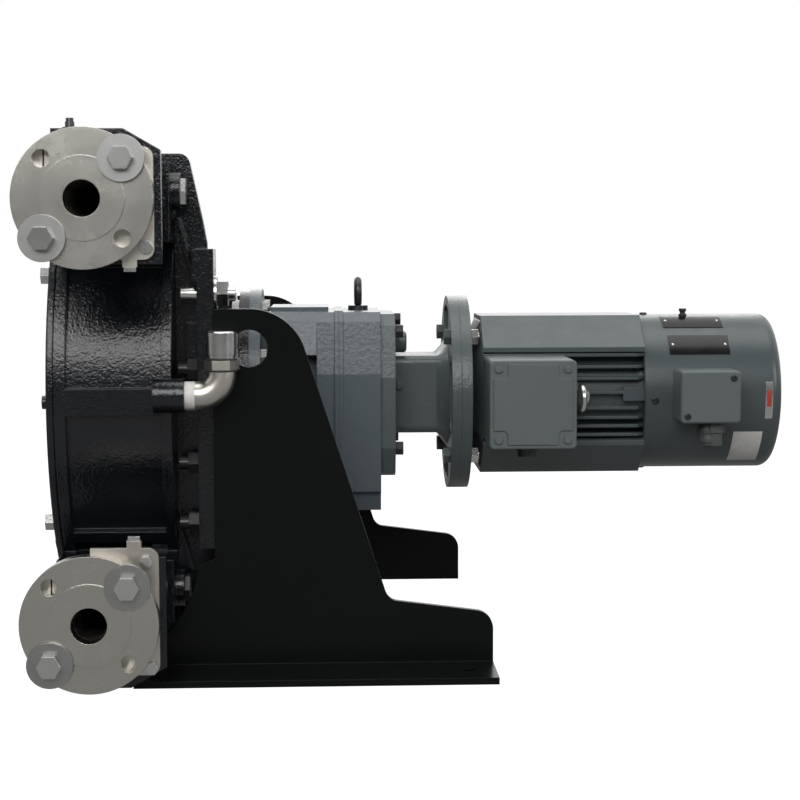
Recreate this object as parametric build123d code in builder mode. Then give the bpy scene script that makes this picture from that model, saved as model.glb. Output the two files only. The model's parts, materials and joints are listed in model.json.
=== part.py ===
"""Hose pump with a geared motor, built as an assembly of separate pieces.

The frame: origin on the floor at the centre of the foot holes, +X from the pump
head to the motor, -Y out of the two ports, +Z up. All sizes are millimetres.
"""
import os
from math import asin, atan2, cos, degrees, pi, radians, sin, sqrt, tan

from build123d import *

os.makedirs("parts", exist_ok=True)

# ---------------------------------------------------------------- clearances
seat_clear = 0.3        # between a curved face and its seat
run_clear = 0.05        # radial, between a shaft and its bearing
hole_clear = 0.5        # radial, round a bolt

# ---------------------------------------------------------------- axes
pump_z = 316.5          # height of the pump and output shaft axis
motor_z = 304.5         # height of the motor and input shaft axis

# ---------------------------------------------------------------- hose and ports
hose_od = 70.0
hose_wall = 15.0
turn_r = 232.0          # centre line of the hose's half turn, and half the port pitch
hose_x = -248.0         # plane that the hose lies in
hose_bore_r = hose_od / 2 - hose_wall
squeezed_gap = 1.6      # bore height left under a pressing shoe

flange_r = 152.4 / 2    # 2 inch class 150 flange
flange_t = 19.4
flange_pcd = 120.65
flange_hole_r = 19.05 / 2
flange_face_r = 92.1 / 2
flange_face_t = 1.6
flange_bore_r = 20.0
flange_hole_angles = (45, 135, 225, 315)
transit_angles = (45, 225)      # the two holes that hold a transit bolt

bracket_t = 8.0
port_face_y = -404.0    # machined end of the housing's port
bracket_face_y = port_face_y - bracket_t
flange_front_y = bracket_face_y - flange_t
raised_face_y = flange_front_y - flange_face_t

# ---------------------------------------------------------------- pump housing
cover_t = 8.0
casing_front_x = -305.0
casing_back_x = -168.0
rim_t = 14.0            # front rim
back_t = 12.0           # back wall
track_r = turn_r + hose_od / 2 + seat_clear
wall_r = track_r + 9.7
casing_r = wall_r + 8.0     # outside of the two rims
cover_r = casing_r + 3.0
rib_angles = (0, 36, -36)
rib_height = (32.0, 17.0, 17.0)
cavity_back_x = casing_back_x - back_t
port_plate_t = 16.0
port_plate_right_x = 82.0       # from the port's axis
port_plate_top = 76.0
port_plate_low = 71.0
port_plate_left = (-36.0, 42.0)     # ends of the plate's level top edge
port_plate_bevel = 53.0             # height at which the slanted corner ends
port_tube_r = 46.0
port_block_y = 280.0
channel_clear = 1.2
channel_r = hose_od / 2 + channel_clear
channel_end_y = 8.0

hub_r = 92.0
hub_end_x = -86.0       # face that the gear unit bolts to
mount_flange_r = 125.0
mount_flange_t = 13.0
mount_pcd = 215.0
mount_bolt_r = 6.0
mount_bolts = 8

cheek_y = 196.0         # inner face of each rear cheek
cheek_t = 16.0
lug_out_y = 264.0       # outer face of the lugs that carry the side plates
lug_front_x = -139.0
lug_back_x = -119.0

# ---------------------------------------------------------------- rotor
shaft_r = 37.5
rotor_seat_r = 30.0
rotor_front_x = -283.0
rotor_back_x = -205.0
rotor_hub_r = 64.0
arm_width = 62.0
arm_depth = 56.0        # along X
pad_length = 128.0
pad_t = 20.0
shim_t = 2.0
shoe_depth = 96.0       # along X
shoe_half = 70.0
shoe_lip = 8.0
shoe_reach = track_r - 2 * hose_wall - squeezed_gap - 2 * seat_clear
shoe_t = 43.1           # from the shim to the middle of the rounded face
shoe_seat_r = shoe_reach - shoe_t - shim_t

# ---------------------------------------------------------------- frame plates
plate_t = 8.0
plate_y = 292.0         # outer face of each side plate
foot_y = 374.5
foot_half_x = 207.0
foot_hole_x = 175.0
foot_hole_y = 334.0
foot_hole_r = 7.0
plate_top_z = 424.7
plate_front_x = -119.0

# ---------------------------------------------------------------- gear unit
gear_flange_t = 15.0
case_front_x = 0.0
case_joint_x = 28.0
case_back_x = 81.0
case_bottom_z = 160.0
case_top_z = 413.0
case_half = 107.0
case_break_z = 335.0
case_wall = 8.0

output_teeth = 44
output_pinion_teeth = 12
output_module = 3.0
input_gear_teeth = 60
input_teeth = 12
input_module = 2.0
pressure_angle = 25.0
backlash = 0.3
layshaft_z = pump_z - output_module * (output_teeth + output_pinion_teeth) / 2

# ---------------------------------------------------------------- adapter and motor
adapter_plate_t = 19.0
adapter_half = 50.5
iec_flange_r = 127.0
iec_flange_t = 12.5
iec_front_x = 170.5
motor_flange_t = 13.5
iec_pcd = 215.0
iec_bolt_r = 6.0
motor_front_x = iec_front_x + iec_flange_t + motor_flange_t
motor_back_x = 419.0
motor_half = 99.0
stator_r = 78.0
rotor_core_r = 49.0
motor_shaft_r = 14.0
cowl_r = motor_half + 2.7
cowl_end_x = 597.0
cowl_corner_r = 14.0
cowl_t = 2.5


# ---------------------------------------------------------------- helpers
def across(x, z=pump_z, y=0.0, angle=0.0):
    """A plane square to the shafts: local x is Y and local y is Z, turned by an angle."""
    a = radians(angle)
    return Plane(origin=(x, y, z), x_dir=(0, cos(a), sin(a)), z_dir=(1, 0, 0))


def facing_port(y, x=0.0, z=0.0):
    """A plane facing out of the ports: local x is X, local y is Z, and it looks along -Y."""
    return Plane(origin=(x, y, z), x_dir=(1, 0, 0), z_dir=(0, -1, 0))


def level(z, x=0.0, y=0.0):
    """A horizontal plane."""
    return Plane(origin=(x, y, z), x_dir=(1, 0, 0), z_dir=(0, 0, 1))


def radial(angle):
    """A plane through the pump axis: local x is X, local y points outward at the angle from +Y."""
    a = radians(angle)
    return Plane(origin=(hose_x, 0, pump_z), x_dir=(1, 0, 0), z_dir=(0, -sin(a), cos(a)))


def port_z(side):
    """Height of the upper (+1) or lower (-1) port."""
    return pump_z + side * turn_r


def add_ring(plane, outer_r, inner_r, length, mode=Mode.ADD):
    """A disc or ring standing on a plane, in the open part."""
    with BuildSketch(plane) as ring:
        Circle(outer_r)
        if inner_r > 0:
            Circle(inner_r, mode=Mode.SUBTRACT)
    extrude(ring.sketch, amount=length, mode=mode)


def add_block(x0, x1, y0, y1, z0, z1, mode=Mode.ADD):
    """A plain block between two corners, in the open part."""
    with Locations(((x0 + x1) / 2, (y0 + y1) / 2, (z0 + z1) / 2)):
        Box(x1 - x0, y1 - y0, z1 - z0, mode=mode)


def add_holes(plane, points, radius, depth):
    """Round holes cut into the open part, down from a plane."""
    with BuildSketch(plane) as holes:
        with Locations(*points):
            Circle(radius)
    extrude(holes.sketch, amount=-depth, mode=Mode.SUBTRACT)


def add_bolts(plane, points, flats, head, radius, depth):
    """Hex heads on a plane with plain shanks below it, in the open part."""
    with BuildSketch(plane) as heads:
        with Locations(*points):
            RegularPolygon(flats / 2, 6, major_radius=False)
    extrude(heads.sketch, amount=head)
    with BuildSketch(plane) as shanks:
        with Locations(*points):
            Circle(radius)
    extrude(shanks.sketch, amount=-depth)


def circle_points(radius, angles):
    """Points at the given angles on a circle."""
    return [(radius * cos(radians(a)), radius * sin(radians(a))) for a in angles]


def even_angles(count, first=0.0):
    """Angles of an even pattern."""
    return [first + i * 360 / count for i in range(count)]


def finish(piece, name):
    """Label a piece and write its STEP file."""
    piece.part.label = name
    export_step(piece.part, f"parts/{name}.step")


# ================================================================ pump housing
mount_points = circle_points(mount_pcd / 2, even_angles(mount_bolts, 22.5))
cover_bolt_angles = (32, 90, 148, 212, 270, 328)
cover_bolt_pcr = (track_r + casing_r) / 2
cover_bolt_r = 5.0
cover_points = circle_points(cover_bolt_pcr, cover_bolt_angles)
flange_points = circle_points(flange_pcd / 2, flange_hole_angles)
bracket_round_r = flange_r - 3
bracket_right_x = 75.0
bracket_spans = {1: (-66.0, 56.0), -1: (-60.0, 82.0)}
bracket_hex_points = {1: [(66.0, -52.0)], -1: [(61.0, 66.5), (66.0, -52.0)]}
bracket_socket_points = {1: [(-58.0, 0.0), (0.0, 60.0)], -1: [(-58.0, 0.0)]}
bracket_bolt_r = 4.0
bracket_socket_r = 6.5
bracket_socket_t = 5.0
bracket_bolt_depth = bracket_t + 14.0
bracket_points = {side: [*bracket_hex_points[side], *bracket_socket_points[side]] for side in (1, -1)}
transit_points = circle_points(flange_pcd / 2, transit_angles)
bearing_r = 65.0
bearing_w = 25.0
seal_r = 50.0
seal_w = back_t
breather_y = -311.0
breather_z = 326.0
boss_r = 20.0
boss_end_x = -150.0
plate_bolt_y = 238.0
plate_bolt_z = (168.0, 240.0, 352.0)
plate_bolt_r = 8.0
lug_stud_z = 441.0
drain_z = pump_z - casing_r
drain_y = 12.0
drain_r = 10.0
drain_boss_r = 17.0
transit_bolt_r = 8.0
seal_groove_r = track_r + 2.0
seal_cord_r = 1.2
seal_groove_t = 3.0

cheek_front_x = -200.0
cheek_back_x = -131.0
cheek_corner_x = -151.0
cheek_top_z = 607.0
cheek_top = [       # rear outline of the near cheek, from its top to the middle
    (cheek_front_x, 560), (cheek_front_x, cheek_top_z), (cheek_corner_x, cheek_top_z), (-134, 528), (-129, 500),
    (cheek_back_x, 452), (cheek_back_x, 400),
]
far_cheek_top = [(cheek_front_x, 430), (cheek_back_x, 430), (cheek_back_x, 400)]
lug_top = {-1: 494.0, 1: 430.0}
lug_low = 140.0
ear_low = 456.0         # the near ear stands above the lug
ear_extra_t = 5.0
arm_rise = 60.0         # of the arms that tie the cheeks to the hub, from the pump axis
arm_half_t = 9.0
cheek_pad = (349.0, 406.0)
cheek_pad_t = 10.0
union_y = -246.0
union_heights = (561.0, 91.0)
union_r = 22.0
union_end_x = -157.0
union_bolt_r = 6.0
brace_t = 5.0
brace_reach = 18.0
braces = (((-163, 531), (-143, 449)), ((-176, 195), (-149, 109)))
with BuildPart() as pump_housing:
    # back wall, track wall and front rim
    add_ring(across(casing_back_x), casing_r, 0, -back_t)
    add_ring(across(casing_front_x), casing_r, track_r, rim_t)
    add_ring(across(casing_front_x + rim_t), wall_r, track_r, cavity_back_x - casing_front_x - rim_t)
    # ribs between the rims
    for side in (0, 180):
        for angle, height in zip(rib_angles, rib_height):
            with BuildSketch(across(casing_front_x + rim_t, angle=side + angle)) as rib:
                with Locations(((wall_r + casing_r) / 2 - 2, 0)):
                    Rectangle(casing_r - wall_r + 3, height)
            extrude(rib.sketch, amount=cavity_back_x - casing_front_x - rim_t)
    # ports: a tube along each straight run of the hose and its square end plate
    for side in (1, -1):
        tube = facing_port(0, hose_x, port_z(side))
        add_ring(tube, port_tube_r, 0, -port_face_y - port_plate_t)
        with BuildSketch(facing_port(port_face_y, hose_x, port_z(side))) as end_plate:
            Circle(bracket_round_r)
            with BuildLine():
                left_x, bevel_x = port_plate_left
                Polyline((left_x, side * port_plate_top), (bevel_x, side * port_plate_top),
                         (port_plate_right_x, side * port_plate_bevel),
                         (port_plate_right_x, -side * port_plate_low), (0, -side * port_plate_low),
                         (left_x, 0), close=True)
            make_face()
        extrude(end_plate.sketch, amount=-port_plate_t)
        add_block(casing_front_x, casing_back_x, -port_block_y, -20,
                  port_z(side) - port_tube_r, port_z(side) + port_tube_r)
    # bearing hub and the flange for the gear unit
    add_ring(across(casing_back_x), hub_r, 0, hub_end_x - casing_back_x)
    add_ring(across(hub_end_x), mount_flange_r, 0, -mount_flange_t)
    # cheeks that carry the side plates
    for side in (1, -1):
        upper = cheek_top if side < 0 else far_cheek_top
        lower = [(x, 2 * pump_z - z) for x, z in reversed(upper)]
        with BuildSketch(facing_port(side * cheek_y)) as cheek:
            with BuildLine():
                Polyline(*upper, *lower, close=True)
            make_face()
            corners = [v for v in cheek.vertices() if abs(v.X - cheek_corner_x) < 1]
            if corners:
                fillet(corners, 13)
        extrude(cheek.sketch, amount=-side * cheek_t)
        # lugs
        y0, y1 = sorted((side * (cheek_y + cheek_t - 1), side * lug_out_y))
        add_block(lug_front_x, lug_back_x, y0, y1, lug_low, lug_top[side])
        if side < 0:
            add_block(lug_front_x - ear_extra_t, lug_back_x, y0, y1, ear_low, lug_top[side])
        # arms that tie the cheeks to the hub
        inner, outer = sorted((side * (hub_r - 8), side * (cheek_y + 1)))
        for z in (pump_z - arm_rise, pump_z + arm_rise):
            add_block(casing_back_x, cheek_back_x, inner, outer, z - arm_half_t, z + arm_half_t)
    # slanted braces on the near cheek, a pad, and a boss on each port block
    for (x0, z0), (x1, z1) in braces:
        slant = atan2(z0 - z1, x0 - x1)
        across_x, across_z = brace_t / 2 * sin(slant), brace_t / 2 * cos(slant)
        with BuildSketch(facing_port(1 - cheek_y - cheek_t)) as brace:
            with BuildLine():
                Polyline((x0 - across_x, z0 + across_z), (x0 + across_x, z0 - across_z),
                         (x1 + across_x, z1 - across_z), (x1 - across_x, z1 + across_z), close=True)
            make_face()
        extrude(brace.sketch, amount=brace_reach)
    cheek_out_y = -cheek_y - cheek_t
    add_block(cheek_corner_x - 4, lug_front_x + 2, cheek_out_y - cheek_pad_t, cheek_out_y + 1, *cheek_pad)
    for z in union_heights:
        add_ring(across(casing_back_x - 1, z, union_y), union_r, 0, union_end_x - casing_back_x + 1)
    # breather boss beside the middle rib
    boss = across(casing_back_x - 18, breather_z, breather_y)
    add_ring(boss, boss_r, 0, boss_end_x - casing_back_x + 18)
    add_block(casing_back_x - 18, casing_back_x, breather_y, -casing_r + 12,
              breather_z - boss_r, breather_z + boss_r - 4)
    # boss for the drain plug under the casing
    add_ring(level(drain_z, hose_x, drain_y), drain_boss_r, 0, casing_r - wall_r + 6)
    # the space for the hose and rotor
    add_ring(across(cavity_back_x), track_r, 0, casing_front_x - cavity_back_x, mode=Mode.SUBTRACT)
    for side in (1, -1):
        add_ring(facing_port(channel_end_y, hose_x, port_z(side)), channel_r, 0,
                 channel_end_y - port_face_y, mode=Mode.SUBTRACT)
        end = facing_port(port_face_y, hose_x, port_z(side))
        add_holes(end, transit_points, transit_bolt_r + hole_clear, port_plate_t)
        add_holes(end, bracket_points[side], bracket_bolt_r + seat_clear, bracket_bolt_depth - bracket_t)
    add_ring(level(drain_z, hose_x, drain_y), drain_r + seat_clear, 0, 30, mode=Mode.SUBTRACT)
    # bearing bore, seal bore and bolt holes
    add_ring(across(hub_end_x), bearing_r, 0, casing_back_x - hub_end_x, mode=Mode.SUBTRACT)
    add_ring(across(casing_back_x), seal_r, 0, -back_t, mode=Mode.SUBTRACT)
    add_holes(across(hub_end_x), mount_points, mount_bolt_r + seat_clear, mount_flange_t)
    add_holes(across(casing_front_x + 12), cover_points, cover_bolt_r + seat_clear, 12)
    add_ring(across(casing_front_x), seal_groove_r + seal_cord_r, seal_groove_r - seal_cord_r,
             seal_groove_t, mode=Mode.SUBTRACT)
    for side in (1, -1):
        heights = (*plate_bolt_z, lug_stud_z) if side < 0 else plate_bolt_z
        plate_points = [(side * plate_bolt_y, z - pump_z) for z in heights]
        add_holes(across(lug_back_x), plate_points, plate_bolt_r + seat_clear,
                  lug_back_x - lug_front_x)
    for z in union_heights:
        add_holes(across(union_end_x, z, union_y), [(0, 0)], union_bolt_r + seat_clear, 16)
    # tapped boss for the breather
    add_holes(across(boss_end_x, breather_z, breather_y), [(0, 0)], 10.0 + seat_clear, 14)
finish(pump_housing, "pump_housing")


# ================================================================ cover
window_r = 62.0
window_ring_r = 80.0
window_ring_t = 9.0
window_bolt_pcr = 72.0
window_bolt_r = 2.5
window_points = circle_points(window_bolt_pcr, even_angles(8, 22.5))
cover_front_x = casing_front_x - cover_t
cover_rib_h = 7.0

with BuildPart() as front_cover:
    add_ring(across(casing_front_x), cover_r, 0, -cover_t)
    fillet(front_cover.edges().filter_by(GeomType.CIRCLE).group_by(Axis.X)[0], 2.5)
    # stiffening ribs and the thick boss round the window
    add_ring(across(cover_front_x), window_ring_r + 8, 0, -cover_rib_h)
    for angle in even_angles(8):
        with BuildSketch(across(cover_front_x, angle=angle)) as rib:
            with Locations(((window_ring_r + cover_r - 34) / 2 + 4, 0)):
                Rectangle(cover_r - 34 - window_ring_r, 12)
        extrude(rib.sketch, amount=-cover_rib_h)
    for angle in (0, 180):
        with BuildSketch(across(cover_front_x, angle=angle)) as pointer:
            with Locations((cover_bolt_pcr, 0)):
                Circle(8)
        extrude(pointer.sketch, amount=-5)
    add_holes(across(casing_front_x), [(0, 0)], window_r, cover_t + cover_rib_h)
    add_holes(across(casing_front_x), cover_points, cover_bolt_r + seat_clear, cover_t)
    add_holes(across(cover_front_x - cover_rib_h + 8), window_points, window_bolt_r + seat_clear, 8)
finish(front_cover, "front_cover")

with BuildPart() as cover_seal:
    add_ring(across(casing_front_x), seal_groove_r + seal_cord_r, seal_groove_r - seal_cord_r, seal_groove_t)
finish(cover_seal, "cover_seal")

window_front_x = cover_front_x - cover_rib_h
with BuildPart() as cover_window:
    add_ring(across(window_front_x), window_ring_r - 14, 0, -4)
finish(cover_window, "cover_window")

with BuildPart() as window_ring:
    add_ring(across(window_front_x), window_ring_r, window_ring_r - 14 + seat_clear, -4.3)
    add_ring(across(window_front_x - 4.3), window_ring_r, window_r - 4, -(window_ring_t - 4.3))
    add_holes(across(window_front_x), window_points, window_bolt_r + seat_clear, window_ring_t)
finish(window_ring, "window_ring")

with BuildPart() as cover_bolts:
    cover_head = 10.0
    add_bolts(across(cover_front_x).offset(0), cover_points, 19, -cover_head, cover_bolt_r, -(cover_t + 11))
    add_bolts(across(window_front_x - window_ring_t), window_points, 8, -4, window_bolt_r,
              -(window_ring_t + 7))
finish(cover_bolts, "cover_bolts")

# ================================================================ hose
shoe_round_r = (shoe_half**2 + (shoe_t - shoe_lip) ** 2) / (
    2 * (shoe_t - shoe_lip))
shoe_round_centre = shoe_reach - shoe_round_r
squeeze_angle = 34.0
squeeze_steps = 4


def shoe_outline_r(angle):
    """Distance from the pump axis to the shoe's rounded face at an angle from its middle."""
    a = radians(angle)
    return shoe_round_centre * cos(a) + sqrt(shoe_round_r**2 - (shoe_round_centre * sin(a)) ** 2)


def hose_height(angle):
    """Height of the hose, along the pump's radius, at an angle from the shoe's middle."""
    if abs(angle) >= squeeze_angle:
        return hose_od
    pressed = track_r - seat_clear - shoe_outline_r(angle) - 2 * seat_clear
    return min(hose_od, pressed)


def hose_section(angle, wall):
    """The hose's oval section at an angle, its outer face or, a wall inside it, its bore."""
    height = hose_height(angle)
    # a squeezed hose keeps the length round its wall, so it grows wider
    mid_height = height - hose_wall
    mid_round = hose_od - hose_wall
    mid_width = sqrt(max(2 * mid_round**2 - mid_height**2, mid_round**2))
    with BuildSketch(radial(angle)) as section:
        with Locations((0, track_r - seat_clear - height / 2)):
            half = (mid_width + hose_wall) / 2 - wall
            if abs(mid_width - mid_height) < 0.01:
                Circle(half)
            else:
                Ellipse(half, height / 2 - wall)
    return section.sketch


squeeze_angles = [squeeze_angle * i / squeeze_steps for i in range(-squeeze_steps, squeeze_steps + 1)]
end_socket_r = 24.3
end_socket_length = 80.0
with BuildPart() as pump_hose:
    for wall, mode in ((0, Mode.ADD), (hose_wall, Mode.SUBTRACT)):
        loft([hose_section(a, wall) for a in squeeze_angles], mode=mode)
        for side in (1, -1):
            turn = 90 - squeeze_angle
            revolve(hose_section(side * squeeze_angle, wall), Axis((hose_x, 0, pump_z), (side, 0, 0)),
                    revolution_arc=turn, mode=mode)
            add_ring(facing_port(0, hose_x, port_z(side)), hose_od / 2 - wall, 0, -port_face_y, mode=mode)
    for side in (1, -1):
        end = facing_port(port_face_y, hose_x, port_z(side))
        add_ring(end, end_socket_r, 0, -end_socket_length, mode=Mode.SUBTRACT)
finish(pump_hose, "pump_hose")


# ================================================================ rotor and shoes
def out_of_arm(side, reach):
    """A plane square to a rotor arm at a distance from the axis: local x is X."""
    return Plane(origin=(hose_x, side * reach, pump_z), x_dir=(1, 0, 0), z_dir=(0, side, 0))


shoe_bolt_r = 5.0
shoe_bolt_points = [(x, z) for x in (-30, 30) for z in (-50, 50)]
shoe_bolt_head = 10.0
shoe_bolt_grip = 12.0
key_width = 18.0
key_height = 11.0
key_length = 60.0
key_middle_x = (rotor_front_x + rotor_back_x) / 2
key_low = rotor_seat_r - 7.0

with BuildPart() as rotor:
    add_ring(across(rotor_front_x), rotor_hub_r, 0, rotor_back_x - rotor_front_x)
    for side in (1, -1):
        with BuildSketch(out_of_arm(side, 0)) as arm:
            Rectangle(arm_depth, arm_width)
        extrude(arm.sketch, amount=shoe_seat_r - pad_t + 1)
        with BuildSketch(out_of_arm(side, shoe_seat_r)) as pad:
            RectangleRounded(shoe_depth, pad_length, 12)
        extrude(pad.sketch, amount=-pad_t)
        # a web on each side of the arm
        with BuildSketch(Plane(origin=(hose_x - 7, 0, pump_z), x_dir=(0, 1, 0), z_dir=(1, 0, 0))) as web:
            with BuildLine():
                Polyline((side * 40, 50), (side * (shoe_seat_r - pad_t + 1), pad_length / 2 - 6),
                         (side * (shoe_seat_r - pad_t + 1), 6 - pad_length / 2), (side * 40, -50), close=True)
            make_face()
        extrude(web.sketch, amount=14)
        add_holes(out_of_arm(side, shoe_seat_r), shoe_bolt_points, shoe_bolt_r + seat_clear, pad_t)
    add_ring(across(rotor_front_x), rotor_seat_r + run_clear, 0, rotor_back_x - rotor_front_x,
             mode=Mode.SUBTRACT)
    # keyway through the hub
    add_block(rotor_front_x, rotor_back_x, -key_width / 2, key_width / 2,
              pump_z + key_low, pump_z + key_low + key_height + seat_clear, mode=Mode.SUBTRACT)
finish(rotor, "rotor")

with BuildPart() as rotor_key:
    add_block(key_middle_x - key_length / 2, key_middle_x + key_length / 2, -key_width / 2, key_width / 2,
              pump_z + key_low, pump_z + key_low + key_height)
finish(rotor_key, "rotor_key")

shoe_base_r = shoe_seat_r + shim_t
with BuildPart() as rotor_shoes:
    for side in (1, -1):
        with BuildSketch(Plane(origin=(hose_x - shoe_depth / 2, 0, pump_z), x_dir=(0, side, 0),
                               z_dir=(1, 0, 0))) as outline:
            with BuildLine():
                lip_r = shoe_base_r + shoe_lip
                ThreePointArc((lip_r, -shoe_half), (shoe_reach, 0), (lip_r, shoe_half))
                Polyline((lip_r, shoe_half), (shoe_base_r, shoe_half), (shoe_base_r, -shoe_half),
                         (lip_r, -shoe_half))
            make_face()
        extrude(outline.sketch, amount=shoe_depth)
        add_holes(out_of_arm(side, shoe_base_r), shoe_bolt_points, shoe_bolt_r + seat_clear,
                  -shoe_bolt_grip - 2)
finish(rotor_shoes, "rotor_shoes")

with BuildPart() as shoe_shims:
    for side in (1, -1):
        with BuildSketch(out_of_arm(side, shoe_seat_r)) as shim:
            RectangleRounded(shoe_depth, pad_length, 12)
            with Locations(*shoe_bolt_points):
                Circle(shoe_bolt_r + seat_clear, mode=Mode.SUBTRACT)
        extrude(shim.sketch, amount=shim_t)
finish(shoe_shims, "shoe_shims")

retainer_r = 46.0
retainer_t = 8.0
retainer_bolt_r = 6.0
with BuildPart() as rotor_bolts:
    for side in (1, -1):
        add_bolts(out_of_arm(side, shoe_seat_r - pad_t), shoe_bolt_points, 16, -shoe_bolt_head,
                  shoe_bolt_r, -(pad_t + shim_t + shoe_bolt_grip))
    add_bolts(across(rotor_front_x - retainer_t), [(0, 0)], 18, -7.5, retainer_bolt_r, -(retainer_t + 24))
finish(rotor_bolts, "rotor_bolts")

with BuildPart() as rotor_retainer:
    add_ring(across(rotor_front_x), retainer_r, retainer_bolt_r + seat_clear, -retainer_t)
    chamfer(rotor_retainer.edges().filter_by(GeomType.CIRCLE).group_by(Axis.X)[0].sort_by(
        SortBy.RADIUS)[-1], 1.5)
finish(rotor_retainer, "rotor_retainer")

# ================================================================ output shaft
shaft_front_x = rotor_front_x + 1.0
shaft_step_x = rotor_back_x
gear_bearing_seat_r = 35.0
gear_bearing_r = 60.0
gear_bearing_w = 22.0
front_bearing_x = -62.0
inner_bearing_x = case_front_x - gear_bearing_w
output_gear_x = 10.0
output_gear_w = 32.0
gear_seat_r = 31.0
gear_key_low = gear_seat_r - 6.0
shaft_end_x = output_gear_x + output_gear_w

with BuildPart() as output_shaft:
    add_ring(across(shaft_front_x), rotor_seat_r, 0, shaft_step_x - shaft_front_x)
    add_ring(across(shaft_step_x), shaft_r, 0, hub_end_x - 4 - shaft_step_x)
    add_ring(across(hub_end_x - 4), gear_bearing_seat_r, 0, case_front_x + 4 - hub_end_x)
    add_ring(across(case_front_x), gear_seat_r + 8, 0, output_gear_x - case_front_x)
    add_ring(across(output_gear_x), gear_seat_r, 0, output_gear_w)
    chamfer(output_shaft.edges().filter_by(GeomType.CIRCLE).group_by(Axis.X)[0], 1.5)
    add_block(key_middle_x - key_length / 2, key_middle_x + key_length / 2, -key_width / 2, key_width / 2,
              pump_z + key_low, pump_z + key_low + key_height, mode=Mode.SUBTRACT)
    add_holes(across(shaft_front_x), [(0, 0)], retainer_bolt_r + seat_clear, -30)
finish(output_shaft, "output_shaft")

with BuildPart() as shaft_seal:
    add_ring(across(casing_back_x), seal_r - 0.02, shaft_r + run_clear, -seal_w + 1)
    add_ring(across(casing_back_x), seal_r - 5, shaft_r + 3, -5, mode=Mode.SUBTRACT)
finish(shaft_seal, "shaft_seal")


def add_bearing(x, z, outer_r, inner_r, width):
    """A shielded ball bearing as one ring, its shields sunk below the faces."""
    add_ring(across(x, z), outer_r - 0.02, inner_r + run_clear, width)
    race = (outer_r - inner_r) / 4
    for face, sink in ((x, 1.5), (x + width, -1.5)):
        add_ring(across(face, z), outer_r - race, inner_r + race, sink, mode=Mode.SUBTRACT)


pump_bearing_x = (casing_back_x, casing_back_x + bearing_w + 17)
with BuildPart() as pump_bearings:
    for x in pump_bearing_x:
        add_bearing(x, pump_z, bearing_r, shaft_r, bearing_w)
finish(pump_bearings, "pump_bearings")

# ================================================================ ports
insert_r = 24.0
insert_collar_r = 37.0
insert_length = 76.0
with BuildPart() as port_flanges:
    for side in (1, -1):
        face = facing_port(flange_front_y, hose_x, port_z(side))
        add_ring(face, flange_r, 0, -flange_t)
        add_ring(face, flange_face_r, 0, flange_face_t)
        add_ring(face.offset(flange_face_t), flange_bore_r, 0, -flange_t - flange_face_t, mode=Mode.SUBTRACT)
        add_holes(face, flange_points, flange_hole_r, flange_t)
finish(port_flanges, "port_flanges")

with BuildPart() as hose_inserts:
    for side in (1, -1):
        add_ring(facing_port(bracket_face_y, hose_x, port_z(side)), insert_collar_r, 0, -bracket_t)
        add_ring(facing_port(port_face_y, hose_x, port_z(side)), insert_r, 0, -insert_length)
        add_ring(facing_port(bracket_face_y, hose_x, port_z(side)), flange_bore_r, 0,
                 -bracket_t - insert_length, mode=Mode.SUBTRACT)
finish(hose_inserts, "hose_inserts")

bracket_seam = 1.5       # gap between the two pieces of a bracket
bracket_seam_x = -flange_pcd / 2 * cos(radians(45))
tab_x = (40.0, 56.0)
tab_reach = 8.0
tab_nut_t = 5.0
tab_bolt_r = 3.0


def tab_plane(side):
    """The free edge of a bracket's tab, facing the middle of the pump."""
    edge = bracket_spans[side][0] if side > 0 else bracket_spans[side][1]
    return Plane(origin=(hose_x + sum(tab_x) / 2, bracket_face_y + bracket_t / 2,
                         port_z(side) + edge - side * tab_reach),
                 x_dir=(1, 0, 0), z_dir=(0, 0, -side))


with BuildPart() as port_brackets:
    for side in (1, -1):
        low, high = bracket_spans[side]
        front = facing_port(bracket_face_y, hose_x, port_z(side))
        with BuildSketch(front) as outline:
            Circle(bracket_round_r)
            with Locations((bracket_right_x / 2, (low + high) / 2)):
                Rectangle(bracket_right_x, high - low)
            fillet([v for v in outline.vertices() if abs(v.X - bracket_right_x) < 1], 12)
            edge = low if side > 0 else high
            with Locations((sum(tab_x) / 2, edge - side * (tab_reach / 2 - 1))):
                Rectangle(tab_x[1] - tab_x[0], tab_reach + 2)
            Circle(insert_collar_r + seat_clear, mode=Mode.SUBTRACT)
            with Locations(*transit_points):
                Circle(transit_bolt_r + hole_clear, mode=Mode.SUBTRACT)
            with Locations(*bracket_points[side]):
                Circle(bracket_bolt_r + seat_clear, mode=Mode.SUBTRACT)
            with Locations((bracket_seam_x, 0)):
                Rectangle(bracket_seam, 2 * flange_r, mode=Mode.SUBTRACT)
        extrude(outline.sketch, amount=-bracket_t)
        add_holes(front, bracket_socket_points[side], bracket_socket_r + seat_clear, bracket_socket_t)
        add_holes(tab_plane(side), [(0, 0)], tab_bolt_r + seat_clear, 11)
finish(port_brackets, "port_brackets")

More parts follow.
